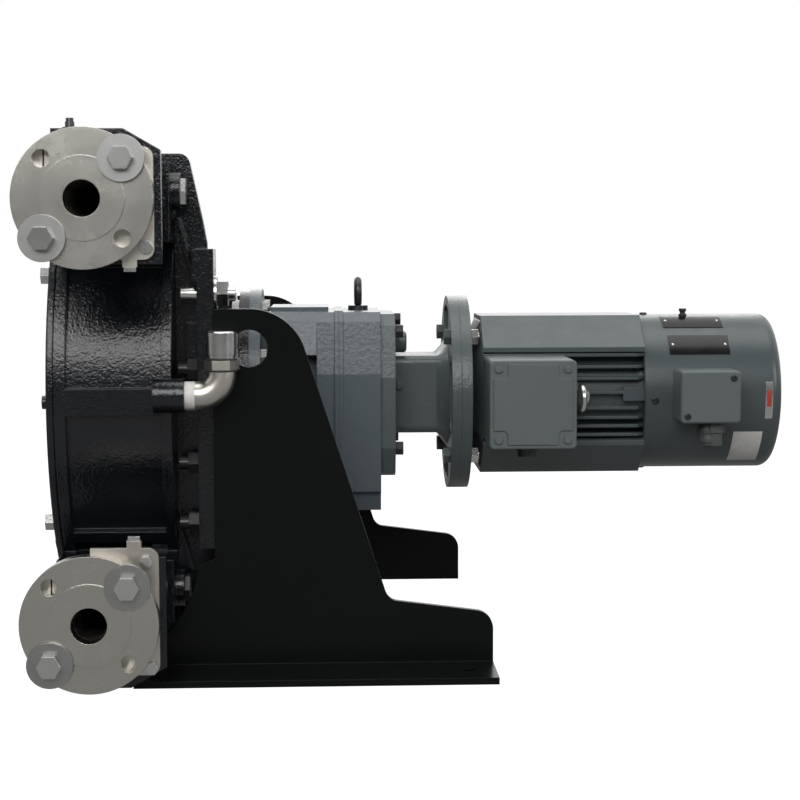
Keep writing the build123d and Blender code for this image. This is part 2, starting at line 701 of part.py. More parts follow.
with BuildPart() as bracket_bolts:
    for side in (1, -1):
        front = facing_port(bracket_face_y, hose_x, port_z(side))
        add_bolts(front, bracket_hex_points[side], 13, 5.5, bracket_bolt_r, bracket_bolt_depth - 1)
        socket = facing_port(bracket_face_y + 0.5, hose_x, port_z(side))
        with BuildSketch(socket) as head:
            with Locations(*bracket_socket_points[side]):
                Circle(bracket_socket_r)
        extrude(head.sketch, amount=0.5 - bracket_socket_t)
        for x, z in bracket_socket_points[side]:
            add_ring(facing_port(bracket_face_y + bracket_socket_t, hose_x + x, port_z(side) + z),
                     bracket_bolt_r, 0, bracket_socket_t + 1 - bracket_bolt_depth)
        with BuildSketch(tab_plane(side)) as head:
            Rectangle(13, bracket_t - 0.4)
        extrude(head.sketch, amount=tab_nut_t)
        add_ring(tab_plane(side), tab_bolt_r, 0, -10)
finish(bracket_bolts, "bracket_bolts")

washer_r = 25.5
washer_t = 4.0
transit_grip = washer_t + flange_face_t + flange_t + bracket_t + port_plate_t
with BuildPart() as transit_washers:
    for side in (1, -1):
        with BuildSketch(facing_port(raised_face_y, hose_x, port_z(side))) as washers:
            with Locations(*transit_points):
                Circle(washer_r)
                Circle(transit_bolt_r + hole_clear, mode=Mode.SUBTRACT)
        extrude(washers.sketch, amount=washer_t)
finish(transit_washers, "transit_washers")

with BuildPart() as transit_bolts:
    for side in (1, -1):
        add_bolts(facing_port(raised_face_y - washer_t, hose_x, port_z(side)), transit_points, 24, 10,
                  transit_bolt_r, transit_grip + 16)
        nut_face = facing_port(port_face_y + port_plate_t, hose_x, port_z(side))
        with BuildSketch(nut_face) as nuts:
            with Locations(*transit_points):
                RegularPolygon(12, 6, major_radius=False)
        extrude(nuts.sketch, amount=-13)
finish(transit_bolts, "transit_bolts")

# ================================================================ breather
collar_r = 16.5
elbow_r = 16.5
collar_length = 12.0
elbow_x = -107.5
elbow_turn_r = 26.0
elbow_start_x = boss_end_x + collar_length
breather_top_z = breather_z + elbow_turn_r
elbow_bore_r = 9.0
nut_t = 11.0
cap_t = 33.0
with BuildPart() as breather_collar:
    add_ring(across(boss_end_x, breather_z, breather_y), collar_r, elbow_bore_r + 3.3, collar_length)
finish(breather_collar, "breather_collar")

with BuildPart() as breather_elbow:
    for radius, mode in ((elbow_r, Mode.ADD), (elbow_bore_r, Mode.SUBTRACT)):
        add_ring(across(elbow_start_x, breather_z, breather_y), radius, 0,
                 elbow_x - elbow_turn_r - elbow_start_x, mode=mode)
        with BuildSketch(across(elbow_x - elbow_turn_r, breather_z, breather_y)) as bend:
            Circle(radius)
        revolve(bend.sketch, Axis((elbow_x - elbow_turn_r, breather_y, breather_top_z), (0, -1, 0)),
                revolution_arc=90, mode=mode)
        add_ring(level(breather_top_z, elbow_x, breather_y), radius, 0, 4, mode=mode)
    # threaded end through the collar into the boss
    add_ring(across(elbow_start_x, breather_z, breather_y), elbow_bore_r + 1, elbow_bore_r - 3,
             -collar_length - 12)
finish(breather_elbow, "breather_elbow")

with BuildPart() as breather_nut:
    low = breather_top_z + 4
    with BuildSketch(level(low, elbow_x, breather_y)) as nut:
        RegularPolygon(17.5, 6, major_radius=False)
        Circle(elbow_bore_r, mode=Mode.SUBTRACT)
    extrude(nut.sketch, amount=nut_t)
finish(breather_nut, "breather_nut")

with BuildPart() as breather_cap:
    low = breather_top_z + 4 + nut_t
    add_ring(level(low, elbow_x, breather_y), 16.5, 0, 6)
    add_ring(level(low + 6, elbow_x, breather_y), 17.5, 0, cap_t - 6)
    chamfer(breather_cap.edges().filter_by(GeomType.CIRCLE).group_by(Axis.Z)[-1], 1.5)
finish(breather_cap, "breather_cap")

# ================================================================ side plates
plate_edge_fold = 62.0
slant_top_x = -28.0
slant_corner = (83.4, 82.6)
tail_top_z = 66.4
plate_hole = (-77.0, 379.0)
plate_hole_r = 21.6
step_z = 128.0
plate_corners = (((slant_top_x, plate_top_z), 66.0), (slant_corner, 16.0), ((foot_half_x, tail_top_z), 22.0))


def side_plate(side):
    """One folded side plate: a web, a foot bent outward and a front edge bent inward."""
    with BuildPart() as plate:
        with BuildSketch(facing_port(side * plate_y)) as web:
            with BuildLine():
                Polyline((-138, 125), (plate_front_x, step_z + 5), (plate_front_x, plate_top_z),
                         (slant_top_x, plate_top_z), slant_corner, (foot_half_x, tail_top_z),
                         (foot_half_x, 0), (-foot_half_x, 0), (-foot_half_x, 20))
                ThreePointArc((-foot_half_x, 20), (-178, 43), (-138, 125))
            make_face()
            for corner, radius in plate_corners:
                fillet(web.vertices().sort_by_distance((*corner, 0))[0], radius)
            with Locations(plate_hole):
                Circle(plate_hole_r, mode=Mode.SUBTRACT)
        extrude(web.sketch, amount=side * plate_t)
        y0, y1 = sorted((side * (plate_y - plate_t), side * foot_y))
        add_block(-foot_half_x, foot_half_x, y0, y1, 0, plate_t)
        # front edge, folded in behind the housing's lugs
        y0, y1 = sorted((side * (plate_y - 1), side * (plate_y - plate_edge_fold)))
        add_block(plate_front_x, plate_front_x + plate_t, y0, y1, 140, 418)
        holes = [(side * plate_bolt_y, z - pump_z) for z in plate_bolt_z]
        add_holes(across(plate_front_x + plate_t), holes, plate_bolt_r + seat_clear, plate_t)
        feet = [(x, side * foot_hole_y) for x in (-foot_hole_x, foot_hole_x)]
        add_holes(level(plate_t), feet, foot_hole_r, plate_t)
    return plate


near_side_plate = side_plate(-1)
finish(near_side_plate, "near_side_plate")
far_side_plate = side_plate(1)
finish(far_side_plate, "far_side_plate")

with BuildPart() as plate_bolts:
    for side in (1, -1):
        grip = [(side * plate_bolt_y, z - pump_z) for z in plate_bolt_z]
        add_bolts(across(plate_front_x + plate_t), grip, 24, 10, plate_bolt_r, 52)
        add_bolts(across(lug_front_x), grip, 24, -13, plate_bolt_r, -10)
    # the long stud of the near lug, and a bolt in the boss on each port block
    stud = across(lug_back_x, lug_stud_z, -plate_bolt_y)
    add_ring(stud, 21, plate_bolt_r + hole_clear, 3)
    add_bolts(stud.offset(3), [(0, 0)], 29, 13, plate_bolt_r, 43)
    add_ring(stud.offset(16), plate_bolt_r, 0, 8)
    for z in union_heights:
        add_bolts(across(union_end_x, z, union_y), [(0, 0)], 30, 6, union_bolt_r, 15)
finish(plate_bolts, "plate_bolts")

with BuildPart() as drain_plug:
    under = Plane(origin=(hose_x, drain_y, drain_z), x_dir=(1, 0, 0), z_dir=(0, 0, -1))
    add_bolts(under, [(0, 0)], 24, 8, drain_r, 15)
finish(drain_plug, "drain_plug")


# ================================================================ gears
def gear_outline(teeth, module, first_tooth):
    """A spur gear's outline: involute flanks, with the first tooth's middle at an angle."""
    pitch_r = teeth * module / 2
    base_r = pitch_r * cos(radians(pressure_angle))
    tip_r = pitch_r + module
    root_r = pitch_r - 1.2 * module
    half_pitch = pi / (2 * teeth) - backlash / (2 * pitch_r)
    involute = lambda r: tan(acos_safe(base_r / r)) - acos_safe(base_r / r)
    low_r = max(root_r, base_r)
    flank = []
    for r in (low_r, (low_r + pitch_r) / 2, pitch_r, (pitch_r + tip_r) / 2, tip_r):
        flank.append((r, half_pitch + involute(pitch_r) - involute(r)))
    if root_r < base_r:
        flank.insert(0, (root_r, flank[0][1]))
    points = []
    for tooth in range(teeth):
        middle = radians(first_tooth) + 2 * pi * tooth / teeth
        for r, half in flank:
            points.append((r * cos(middle - half), r * sin(middle - half)))
        for r, half in reversed(flank):
            points.append((r * cos(middle + half), r * sin(middle + half)))
    return points


def acos_safe(value):
    """The angle whose cosine is the value, at most 1."""
    return pi / 2 - asin(min(1.0, value))


def add_gear(x, z, teeth, module, first_tooth, width):
    """A spur gear's solid in the open part."""
    with BuildSketch(across(x, z)) as gear:
        with BuildLine():
            Polyline(*gear_outline(teeth, module, first_tooth), close=True)
        make_face()
    extrude(gear.sketch, amount=width)


layshaft_r = 15.0
layshaft_bearing_r = 31.0
layshaft_bearing_w = 16.0
pinion_x = case_front_x + 8
input_gear_x = 48.0
input_gear_w = 18.0
layshaft_start_x = case_front_x + 6 - layshaft_bearing_w + 0.5
layshaft_end_x = case_back_x - 8 + layshaft_bearing_w - 0.5
input_shaft_r = 9.0
input_bearing_r = 23.5
input_bearing_w = 14.0

with BuildPart() as output_gear:
    add_gear(output_gear_x, pump_z, output_teeth, output_module, -90 + 180 / output_teeth, output_gear_w)
    add_ring(across(output_gear_x), gear_seat_r + run_clear, 0, output_gear_w, mode=Mode.SUBTRACT)
    for face, sink in ((output_gear_x, 7), (output_gear_x + output_gear_w, -7)):
        add_ring(across(face), 54, 42, sink, mode=Mode.SUBTRACT)
finish(output_gear, "output_gear")

with BuildPart() as intermediate_shaft:
    add_ring(across(layshaft_start_x, layshaft_z), layshaft_r, 0, layshaft_end_x - layshaft_start_x)
    add_gear(pinion_x, layshaft_z, output_pinion_teeth, output_module, 90, output_gear_w + 6)
finish(intermediate_shaft, "intermediate_shaft")

with BuildPart() as intermediate_gear:
    add_gear(input_gear_x, layshaft_z, input_gear_teeth, input_module, 90, input_gear_w)
    add_ring(across(input_gear_x, layshaft_z), layshaft_r + run_clear, 0, input_gear_w, mode=Mode.SUBTRACT)
    for face, sink in ((input_gear_x, 5), (input_gear_x + input_gear_w, -5)):
        add_ring(across(face, layshaft_z), 50, 26, sink, mode=Mode.SUBTRACT)
finish(intermediate_gear, "intermediate_gear")

coupling_x = 112.0
jaw_length = 46.0
coupling_r = 33.0
input_end_x = coupling_x + 24
with BuildPart() as input_pinion:
    add_gear(input_gear_x - 1, motor_z, input_teeth, input_module, -90 + 180 / input_teeth, input_gear_w + 2)
    add_ring(across(input_gear_x + input_gear_w + 1, motor_z), input_shaft_r, 0,
             input_end_x - input_gear_x - input_gear_w - 1)
finish(input_pinion, "input_pinion")

# ================================================================ gear unit
case_profile = [
    (-84, case_top_z), (84, case_top_z), (98, case_top_z - 12), (case_half, case_break_z),
    (104, case_bottom_z + 25), (96, case_bottom_z + 22), (92, case_bottom_z), (-92, case_bottom_z),
    (-96, case_bottom_z + 22), (-104, case_bottom_z + 25), (-case_half, case_break_z), (-98, case_top_z - 12),
]


def case_section(inset):
    """The gear case's section in Y and Z, drawn inside its outer face by an inset."""
    with BuildSketch(across(0, 0)) as section:
        with BuildLine():
            Polyline(*case_profile, close=True)
        make_face()
        if inset != 0:
            offset(amount=-inset)
    return section.sketch


def add_case(x0, x1, inset, mode=Mode.ADD):
    """A length of the gear case, or of its inside, in the open part."""
    extrude(Pos(x0, 0, 0) * case_section(inset), amount=x1 - x0, dir=(1, 0, 0), mode=mode)


cavity_x = case_front_x + 6
roof_x = hub_end_x + gear_flange_t + 10
neck_half = 78.0
neck_low_z = 232.0
neck_top_z = 392.0
shoulder_half_y = case_half - 1
shoulder_z = 359.5      # lower edge of the case's shoulder over the neck
roof_pad_half = 62.0
roof_pad_t = 6.0
roof_pad_end_x = 15.0
case_rim = 2.0          # the joint's rim stands proud of the case by this
case_rim_w = 5.5        # along X, on each side of the joint
with BuildPart() as gear_housing:
    add_case(case_front_x, case_joint_x, 0)
    add_ring(across(hub_end_x), mount_flange_r, 0, gear_flange_t)
    # neck, roof and the raised pad on the roof
    add_block(hub_end_x + gear_flange_t, case_front_x, -neck_half, neck_half, neck_low_z, neck_top_z)
    with BuildSketch(across(roof_x, 0)) as shoulder:
        with BuildLine():
            Polyline(*case_profile[:3], (shoulder_half_y, shoulder_z), (-shoulder_half_y, shoulder_z),
                     case_profile[-1], close=True)
        make_face()
    extrude(shoulder.sketch, amount=case_front_x - roof_x)
    add_block(roof_x + 2, roof_pad_end_x, -roof_pad_half, roof_pad_half, case_top_z - 2, case_top_z + roof_pad_t)
    add_case(case_joint_x - case_rim_w, case_joint_x, -case_rim)
    add_case(cavity_x, case_joint_x, case_wall, mode=Mode.SUBTRACT)
    add_ring(across(hub_end_x), gear_bearing_r, 0, case_front_x - hub_end_x + 6, mode=Mode.SUBTRACT)
    add_ring(across(case_front_x + 6, layshaft_z), layshaft_bearing_r, 0, -layshaft_bearing_w,
             mode=Mode.SUBTRACT)
    add_holes(across(hub_end_x + gear_flange_t), mount_points, mount_bolt_r + seat_clear, gear_flange_t)
finish(gear_housing, "gear_housing")

with BuildPart() as gear_cover:
    add_case(case_joint_x, case_back_x, 0)
    add_case(case_joint_x, case_joint_x + case_rim_w, -case_rim)
    add_case(case_joint_x, case_back_x - case_wall, case_wall, mode=Mode.SUBTRACT)
    add_ring(across(case_back_x, layshaft_z), layshaft_bearing_r, 0, -case_wall, mode=Mode.SUBTRACT)
    add_ring(across(case_back_x, motor_z), input_bearing_r, 0, -case_wall, mode=Mode.SUBTRACT)
finish(gear_cover, "gear_cover")

with BuildPart() as gear_bearings:
    add_bearing(front_bearing_x, pump_z, gear_bearing_r, gear_bearing_seat_r, gear_bearing_w)
    add_bearing(inner_bearing_x, pump_z, gear_bearing_r, gear_bearing_seat_r, gear_bearing_w)
    add_bearing(case_front_x + 6 - layshaft_bearing_w, layshaft_z, layshaft_bearing_r, layshaft_r,
                layshaft_bearing_w)
    add_bearing(case_back_x - case_wall, layshaft_z, layshaft_bearing_r, layshaft_r, layshaft_bearing_w)
    add_bearing(case_back_x - case_wall, motor_z, input_bearing_r, input_shaft_r, input_bearing_w)
finish(gear_bearings, "gear_bearings")

with BuildPart() as gear_flange_bolts:
    add_bolts(across(hub_end_x + gear_flange_t), mount_points, 19, 8, mount_bolt_r,
              gear_flange_t + mount_flange_t)
    with BuildSketch(across(hub_end_x - mount_flange_t)) as nuts:
        with Locations(*mount_points):
            RegularPolygon(9.5, 6, major_radius=False)
    extrude(nuts.sketch, amount=-10)
finish(gear_flange_bolts, "gear_flange_bolts")

eye_x = 54.0
eye_collar_t = 6.0
eye_ring_r = 15.0
eye_wire_r = 5.0
with BuildPart() as gear_eyebolt:
    add_ring(level(case_top_z, eye_x), 13, 0, eye_collar_t)
    eye_z = case_top_z + eye_collar_t + eye_ring_r + 3
    with BuildSketch(Plane(origin=(eye_x, eye_ring_r, eye_z), x_dir=(0, 1, 0), z_dir=(0, 0, 1))) as wire:
        Circle(eye_wire_r)
    revolve(wire.sketch, Axis((eye_x, 0, eye_z), (1, 0, 0)), revolution_arc=360)
finish(gear_eyebolt, "gear_eyebolt")

# ================================================================ adapter
plate_back_x = case_back_x + adapter_plate_t
cover_plate_profile = [
    (-70, 410), (70, 410), (90, 396), (100, 330), (100, 240), (86, 208), (70, 202),
    (-70, 202), (-86, 208), (-100, 240), (-100, 330), (-90, 396),
]
case_bolt_points = [(-84, 72), (84, 72), (-84, -78), (84, -78), (0, 84)]
case_bolt_r = 5.0
flare_length = 16.0
flare_r = 72.0
window_depth = 8.0
window_width = 88.0
window_rim = 12.0       # left between a window and the edge of the flange
vent_spot = (106.0, 316.0)
vent_r = 2.5
coupling_bore_r = 42.0
lantern_back_x = iec_front_x + iec_flange_t
spigot_r = 90.0
spigot_t = 4.0
iec_points = circle_points(iec_pcd / 2, even_angles(4, 45))
with BuildPart() as motor_adapter:
    with BuildSketch(across(case_back_x, 0)) as plate:
        with BuildLine():
            Polyline(*cover_plate_profile, close=True)
        make_face()
    extrude(plate.sketch, amount=adapter_plate_t)
    with BuildSketch(across(plate_back_x, motor_z)) as body:
        RectangleRounded(2 * adapter_half, 2 * adapter_half, 10)
    extrude(body.sketch, amount=iec_front_x - plate_back_x)
    add_ring(across(iec_front_x, motor_z), iec_flange_r, 0, iec_flange_t)
    # flare from the square body to the round flange
    with BuildSketch(across(iec_front_x - flare_length, motor_z)) as square:
        RectangleRounded(2 * adapter_half, 2 * adapter_half, 10)
    with BuildSketch(across(iec_front_x, motor_z)) as round_end:
        Circle(flare_r)
    loft([square.sketch, round_end.sketch])
    # windows between the spokes of the flange
    for angle in even_angles(4):
        with BuildSketch(across(iec_front_x, motor_z, angle=angle)) as window:
            Circle(iec_flange_r - window_rim)
            with Locations((flare_r + iec_flange_r / 2, 0)):
                RectangleRounded(iec_flange_r, window_width, 10, mode=Mode.INTERSECT)
        extrude(window.sketch, amount=window_depth, mode=Mode.SUBTRACT)
    # inside
    add_ring(across(case_back_x, layshaft_z), layshaft_bearing_r, 0, layshaft_bearing_w - case_wall,
             mode=Mode.SUBTRACT)
    add_ring(across(case_back_x, motor_z), input_bearing_r, 0, input_bearing_w - case_wall,
             mode=Mode.SUBTRACT)
    add_ring(across(case_back_x, motor_z), input_shaft_r + 4, 0, adapter_plate_t + 3, mode=Mode.SUBTRACT)
    add_ring(across(plate_back_x + 2, motor_z), coupling_bore_r, 0, lantern_back_x - plate_back_x,
             mode=Mode.SUBTRACT)
    add_ring(across(lantern_back_x, motor_z), spigot_r, 0, -spigot_t, mode=Mode.SUBTRACT)
    add_holes(across(lantern_back_x, motor_z), iec_points, iec_bolt_r + seat_clear, iec_flange_t + 1)
    add_holes(across(plate_back_x), case_bolt_points, case_bolt_r + seat_clear, adapter_plate_t)
    add_holes(facing_port(-adapter_half, *vent_spot), [(0, 0)], vent_r + seat_clear, 6)
finish(motor_adapter, "motor_adapter")

with BuildPart() as gear_case_bolts:
    add_bolts(across(plate_back_x), case_bolt_points, 16, 10, case_bolt_r, adapter_plate_t)
finish(gear_case_bolts, "gear_case_bolts")

with BuildPart() as oil_plugs:
    cap_z = 373.0
    cap_y = -42.0
    add_ring(across(plate_back_x, cap_z, cap_y), 14, 0, 16)
    fillet(oil_plugs.edges().filter_by(GeomType.CIRCLE).sort_by(Axis.X)[-1], 4)
    add_bolts(facing_port(-adapter_half, *vent_spot), [(0, 0)], 8, 5, vent_r, 5)
finish(oil_plugs, "oil_plugs")

# ================================================================ coupling
tooth_count = 3
hub_length = 22.0
spider_t = 14.0
with BuildPart() as coupling_halves:
    gear_half_x = coupling_x
    motor_half_x = coupling_x + hub_length + spider_t + hub_length
    add_ring(across(gear_half_x, motor_z), coupling_r, 0, hub_length)
    add_ring(across(motor_half_x, motor_z), coupling_r, 0, -hub_length)
    for half_x, direction, first in ((gear_half_x + hub_length, 1, 0), (motor_half_x - hub_length, -1, 60)):
        for angle in even_angles(tooth_count, first):
            with BuildSketch(across(half_x, motor_z, angle=angle)) as jaw:
                with Locations((coupling_r - 9, 0)):
                    Rectangle(16, 13)
            extrude(jaw.sketch, amount=direction * (spider_t - 1))
    add_ring(across(gear_half_x, motor_z), input_shaft_r + run_clear, 0, hub_length, mode=Mode.SUBTRACT)
    add_ring(across(motor_half_x, motor_z), motor_shaft_r + run_clear, 0, -hub_length, mode=Mode.SUBTRACT)
finish(coupling_halves, "coupling_halves")

with BuildPart() as coupling_spider:
    spider_x = coupling_x + hub_length + 0.5
    add_ring(across(spider_x, motor_z), 15.5, 10, spider_t - 1)
    for angle in even_angles(2 * tooth_count, 30):
        with BuildSketch(across(spider_x, motor_z, angle=angle)) as leg:
            with Locations((22, 0)):
                Rectangle(16, 3.0)
        extrude(leg.sketch, amount=spider_t - 1)
finish(coupling_spider, "coupling_spider")

# ================================================================ motor
shield_t = 15.0
shield_back_x = motor_front_x + shield_t
motor_bearing_r = 31.0
motor_bearing_seat_r = 15.0
motor_bearing_w = 16.0
rear_shield_t = 12.0
motor_corner = [(-motor_half, 58), (-52, motor_half)]
motor_profile = [
    *motor_corner, *[(-y, z) for y, z in reversed(motor_corner)],
    *[(-y, -z) for y, z in motor_corner], *[(y, -z) for y, z in reversed(motor_corner)],
]


def motor_section(shrink):
    """The motor frame's eight-sided section, drawn smaller by a margin."""
    with BuildSketch(across(0, 0)) as section:
        with BuildLine():
            Polyline(*[(y * (1 - shrink / motor_half), motor_z + z * (1 - shrink / motor_half))
                       for y, z in motor_profile], close=True)
        make_face()
    return section.sketch


with BuildPart() as motor_flange:
    add_ring(across(lantern_back_x, motor_z), iec_flange_r, 0, motor_flange_t)
    add_ring(across(lantern_back_x, motor_z), spigot_r - seat_clear, 0, -spigot_t + 0.5)
    loft([Pos(motor_front_x - 0.5, 0, 0) * motor_section(39), Pos(shield_back_x, 0, 0) * motor_section(3)])
    add_ring(across(lantern_back_x - spigot_t, motor_z), motor_bearing_seat_r + 3, 0, 60, mode=Mode.SUBTRACT)
    add_ring(across(shield_back_x, motor_z), motor_bearing_r, 0, -motor_bearing_w, mode=Mode.SUBTRACT)
    add_holes(across(motor_front_x, motor_z), iec_points, iec_bolt_r + seat_clear, motor_flange_t)
finish(motor_flange, "motor_flange")

with BuildPart() as flange_nuts:
    add_bolts(across(iec_front_x, motor_z), iec_points, 19, -8, iec_bolt_r,
              -(iec_flange_t + motor_flange_t + 11))
    with BuildSketch(across(motor_front_x, motor_z)) as nuts:
        with Locations(*iec_points):
            RegularPolygon(9.5, 6, major_radius=False)
    extrude(nuts.sketch, amount=10)
finish(flange_nuts, "flange_nuts")

fin_heights = (53, 38, 23, 5, -15, -27, -38, -49)
fin_t = 4.0
fin_reach = motor_half - 2
fin_tip = 9.0           # slanted corner at the cowl's end of each fin
shoulder_low = (60.0, 46.0)
shoulder_half = [(-fin_reach, 57), (-fin_reach, 63), (-60, 94), (-50, 102)]
rest_pad = (391.0, -6.0, 12.0)      # front end, lowest and highest point of the pad on the middle fin
with BuildPart() as motor_frame:
    add_ring(across(shield_back_x, motor_z), stator_r + 8, 0, motor_back_x - shield_back_x)
    # smooth shoulders above and below
    for sign in (1, -1):
        with BuildSketch(across(shield_back_x, motor_z)) as shoulder:
            with BuildLine():
                left = [(y, sign * z) for y, z in shoulder_half]
                right = [(-y, z) for y, z in reversed(left)]
                low_y, low_z = shoulder_low
                Polyline(*left, *right, (low_y, sign * low_z), (-low_y, sign * low_z), close=True)
            make_face()
        extrude(shoulder.sketch, amount=motor_back_x - shield_back_x)
    # cooling fins on the sides
    for height in fin_heights:
        with BuildSketch(level(motor_z + height - fin_t / 2)) as fin:
            with BuildLine():
                Polyline((shield_back_x, -fin_reach), (motor_back_x - fin_tip, -fin_reach),
                         (motor_back_x, fin_tip - fin_reach), (motor_back_x, fin_reach - fin_tip),
                         (motor_back_x - fin_tip, fin_reach), (shield_back_x, fin_reach), close=True)
            make_face()
        extrude(fin.sketch, amount=fin_t)
    pad_x, pad_low, pad_high = rest_pad
    add_block(pad_x, motor_back_x, -fin_reach, -stator_r, motor_z + pad_low, motor_z + pad_high)
    add_ring(across(shield_back_x, motor_z), stator_r, 0, motor_back_x - shield_back_x, mode=Mode.SUBTRACT)
finish(motor_frame, "motor_frame")

stator_x0 = 250.0
stator_x1 = 375.0
slot_count = 24
with BuildPart() as stator:
    add_ring(across(stator_x0, motor_z), stator_r - 0.02, rotor_core_r + 0.6, stator_x1 - stator_x0)
    for face, length in ((stator_x0, -22), (stator_x1, 22)):
        add_ring(across(face, motor_z), stator_r - 6, rotor_core_r + 5, length)
finish(stator, "stator")

with BuildPart() as motor_rotor:
    add_ring(across(stator_x0 - 8, motor_z), rotor_core_r, 0, stator_x1 - stator_x0 + 16)
    add_ring(across(motor_half_x - hub_length + 2, motor_z), motor_shaft_r, 0,
             lantern_back_x - motor_half_x + hub_length)
    add_ring(across(lantern_back_x, motor_z), motor_bearing_seat_r, 0, stator_x0 - lantern_back_x)
    add_ring(across(stator_x1, motor_z), motor_bearing_seat_r, 0, motor_back_x + rear_shield_t - stator_x1 - 2)
finish(motor_rotor, "motor_rotor")

with BuildPart() as motor_bearings:
    add_bearing(shield_back_x - motor_bearing_w, motor_z, motor_bearing_r, motor_bearing_seat_r,
                motor_bearing_w)
    add_bearing(motor_back_x - 6, motor_z, motor_bearing_r, motor_bearing_seat_r, motor_bearing_w)
finish(motor_bearings, "motor_bearings")

with BuildPart() as rear_end_shield:
    add_ring(across(motor_back_x, motor_z), cowl_r - cowl_t - 1, 0, rear_shield_t)
    add_ring(across(motor_back_x, motor_z), stator_r - 0.1, motor_bearing_r + 12, -8)
    add_ring(across(motor_back_x, motor_z), motor_bearing_r + 12, 0, -6)
    add_ring(across(motor_back_x - 6, motor_z), motor_bearing_r, 0, motor_bearing_w, mode=Mode.SUBTRACT)
finish(rear_end_shield, "rear_end_shield")

box_x0 = 211.0
box_x1 = 318.0
box_half = 54.5
box_z = motor_z - 1.5
box_back_y = -fin_reach
box_front_y = -190.0
lid_t = 7.0
lid_panel_t = 1.2
lid_screw_points = [(x, z) for x in (box_x0 + 11, box_x1 - 11) for z in (-box_half + 11, box_half - 11)]
lid_screw_r = 2.5
with BuildPart() as terminal_box:
    with BuildSketch(facing_port(box_back_y, (box_x0 + box_x1) / 2, box_z)) as box_outline:
        RectangleRounded(box_x1 - box_x0, 2 * box_half, 6)
    extrude(box_outline.sketch, amount=box_back_y - box_front_y)
    with BuildSketch(facing_port(box_front_y, (box_x0 + box_x1) / 2, box_z)) as inside:
        RectangleRounded(box_x1 - box_x0 - 44, 2 * box_half - 10, 4)
        RectangleRounded(box_x1 - box_x0 - 10, 2 * box_half - 44, 4)
    extrude(inside.sketch, amount=box_front_y - box_back_y + 8, mode=Mode.SUBTRACT)
    add_holes(facing_port(box_front_y, 0, box_z), lid_screw_points, lid_screw_r + seat_clear, 18)
finish(terminal_box, "terminal_box")

with BuildPart() as terminal_lid:
    with BuildSketch(facing_port(box_front_y, (box_x0 + box_x1) / 2, box_z)) as lid_outline:
        RectangleRounded(box_x1 - box_x0, 2 * box_half, 6)
    extrude(lid_outline.sketch, amount=lid_t)
    fillet(terminal_lid.faces().sort_by(Axis.Y)[0].edges(), 2)
    # raised panel, notched round the four screws
    with BuildSketch(facing_port(box_front_y - lid_t, (box_x0 + box_x1) / 2, box_z)) as panel:
        RectangleRounded(box_x1 - box_x0 - 10, 2 * box_half - 10, 3)
        with Locations(*[(x - (box_x0 + box_x1) / 2, z) for x, z in lid_screw_points]):
            RectangleRounded(23, 23, 6, mode=Mode.SUBTRACT)
    extrude(panel.sketch, amount=lid_panel_t)
    add_holes(facing_port(box_front_y - lid_t, 0, box_z), lid_screw_points, lid_screw_r + seat_clear, lid_t)
finish(terminal_lid, "terminal_lid")

# ================================================================ fan
fan_box_x0 = 455.0
fan_box_x1 = 531.0
fan_box_half = 33.0
fan_box_back_y = -fin_reach + 2
fan_box_front_y = -150.0
fan_box_z = 307.0
with BuildPart() as fan_cowl:
    with BuildSketch(Plane(origin=(motor_back_x + 0.5, 0, motor_z), x_dir=(1, 0, 0), z_dir=(0, -1, 0))) as wall:
        length = cowl_end_x - motor_back_x - 0.5
        with BuildLine():
            corner = cowl_corner_r
            inner = corner - cowl_t
            Line((0, cowl_r - cowl_t), (0, cowl_r))
            Line((0, cowl_r), (length - corner, cowl_r))
            RadiusArc((length - corner, cowl_r), (length, cowl_r - corner), corner)
            Line((length, cowl_r - corner), (length, 40))
            Line((length, 40), (length - cowl_t, 40))
            Line((length - cowl_t, 40), (length - cowl_t, cowl_r - corner))
            RadiusArc((length - cowl_t, cowl_r - corner), (length - corner, cowl_r - cowl_t), -inner)
            Line((length - corner, cowl_r - cowl_t), (0, cowl_r - cowl_t))
        make_face()
    revolve(wall.sketch, Axis((0, 0, motor_z), (1, 0, 0)), revolution_arc=360)
    # grille in the end: rings on spokes
    for outer, inner_r in ((40.5, 36), (28, 24), (16, 0)):
        add_ring(across(cowl_end_x, motor_z), outer, inner_r, -cowl_t)
    for angle in even_angles(4, 45):
        with BuildSketch(across(cowl_end_x, motor_z, angle=angle)) as spoke:
            with Locations((20, 0)):
                Rectangle(42, 5)
        extrude(spoke.sketch, amount=-cowl_t)
finish(fan_cowl, "fan_cowl")

fan_motor_x0 = 500.0
fan_motor_x1 = 560.0
fan_motor_r = 36.0
arm_tip_r = cowl_r - cowl_t - seat_clear
with BuildPart() as fan_motor:
    add_ring(across(fan_motor_x0, motor_z), fan_motor_r, 0, fan_motor_x1 - fan_motor_x0)
    for angle in even_angles(3, 90):
        with BuildSketch(across(fan_motor_x1 - 14, motor_z, angle=angle)) as arm:
            with Locations(((fan_motor_r - 4 + arm_tip_r) / 2, 0)):
                Rectangle(arm_tip_r - fan_motor_r + 4, 12)
        extrude(arm.sketch, amount=8)
    add_ring(across(fan_motor_x0, motor_z), 6 + run_clear, 0, 30, mode=Mode.SUBTRACT)
finish(fan_motor, "fan_motor")

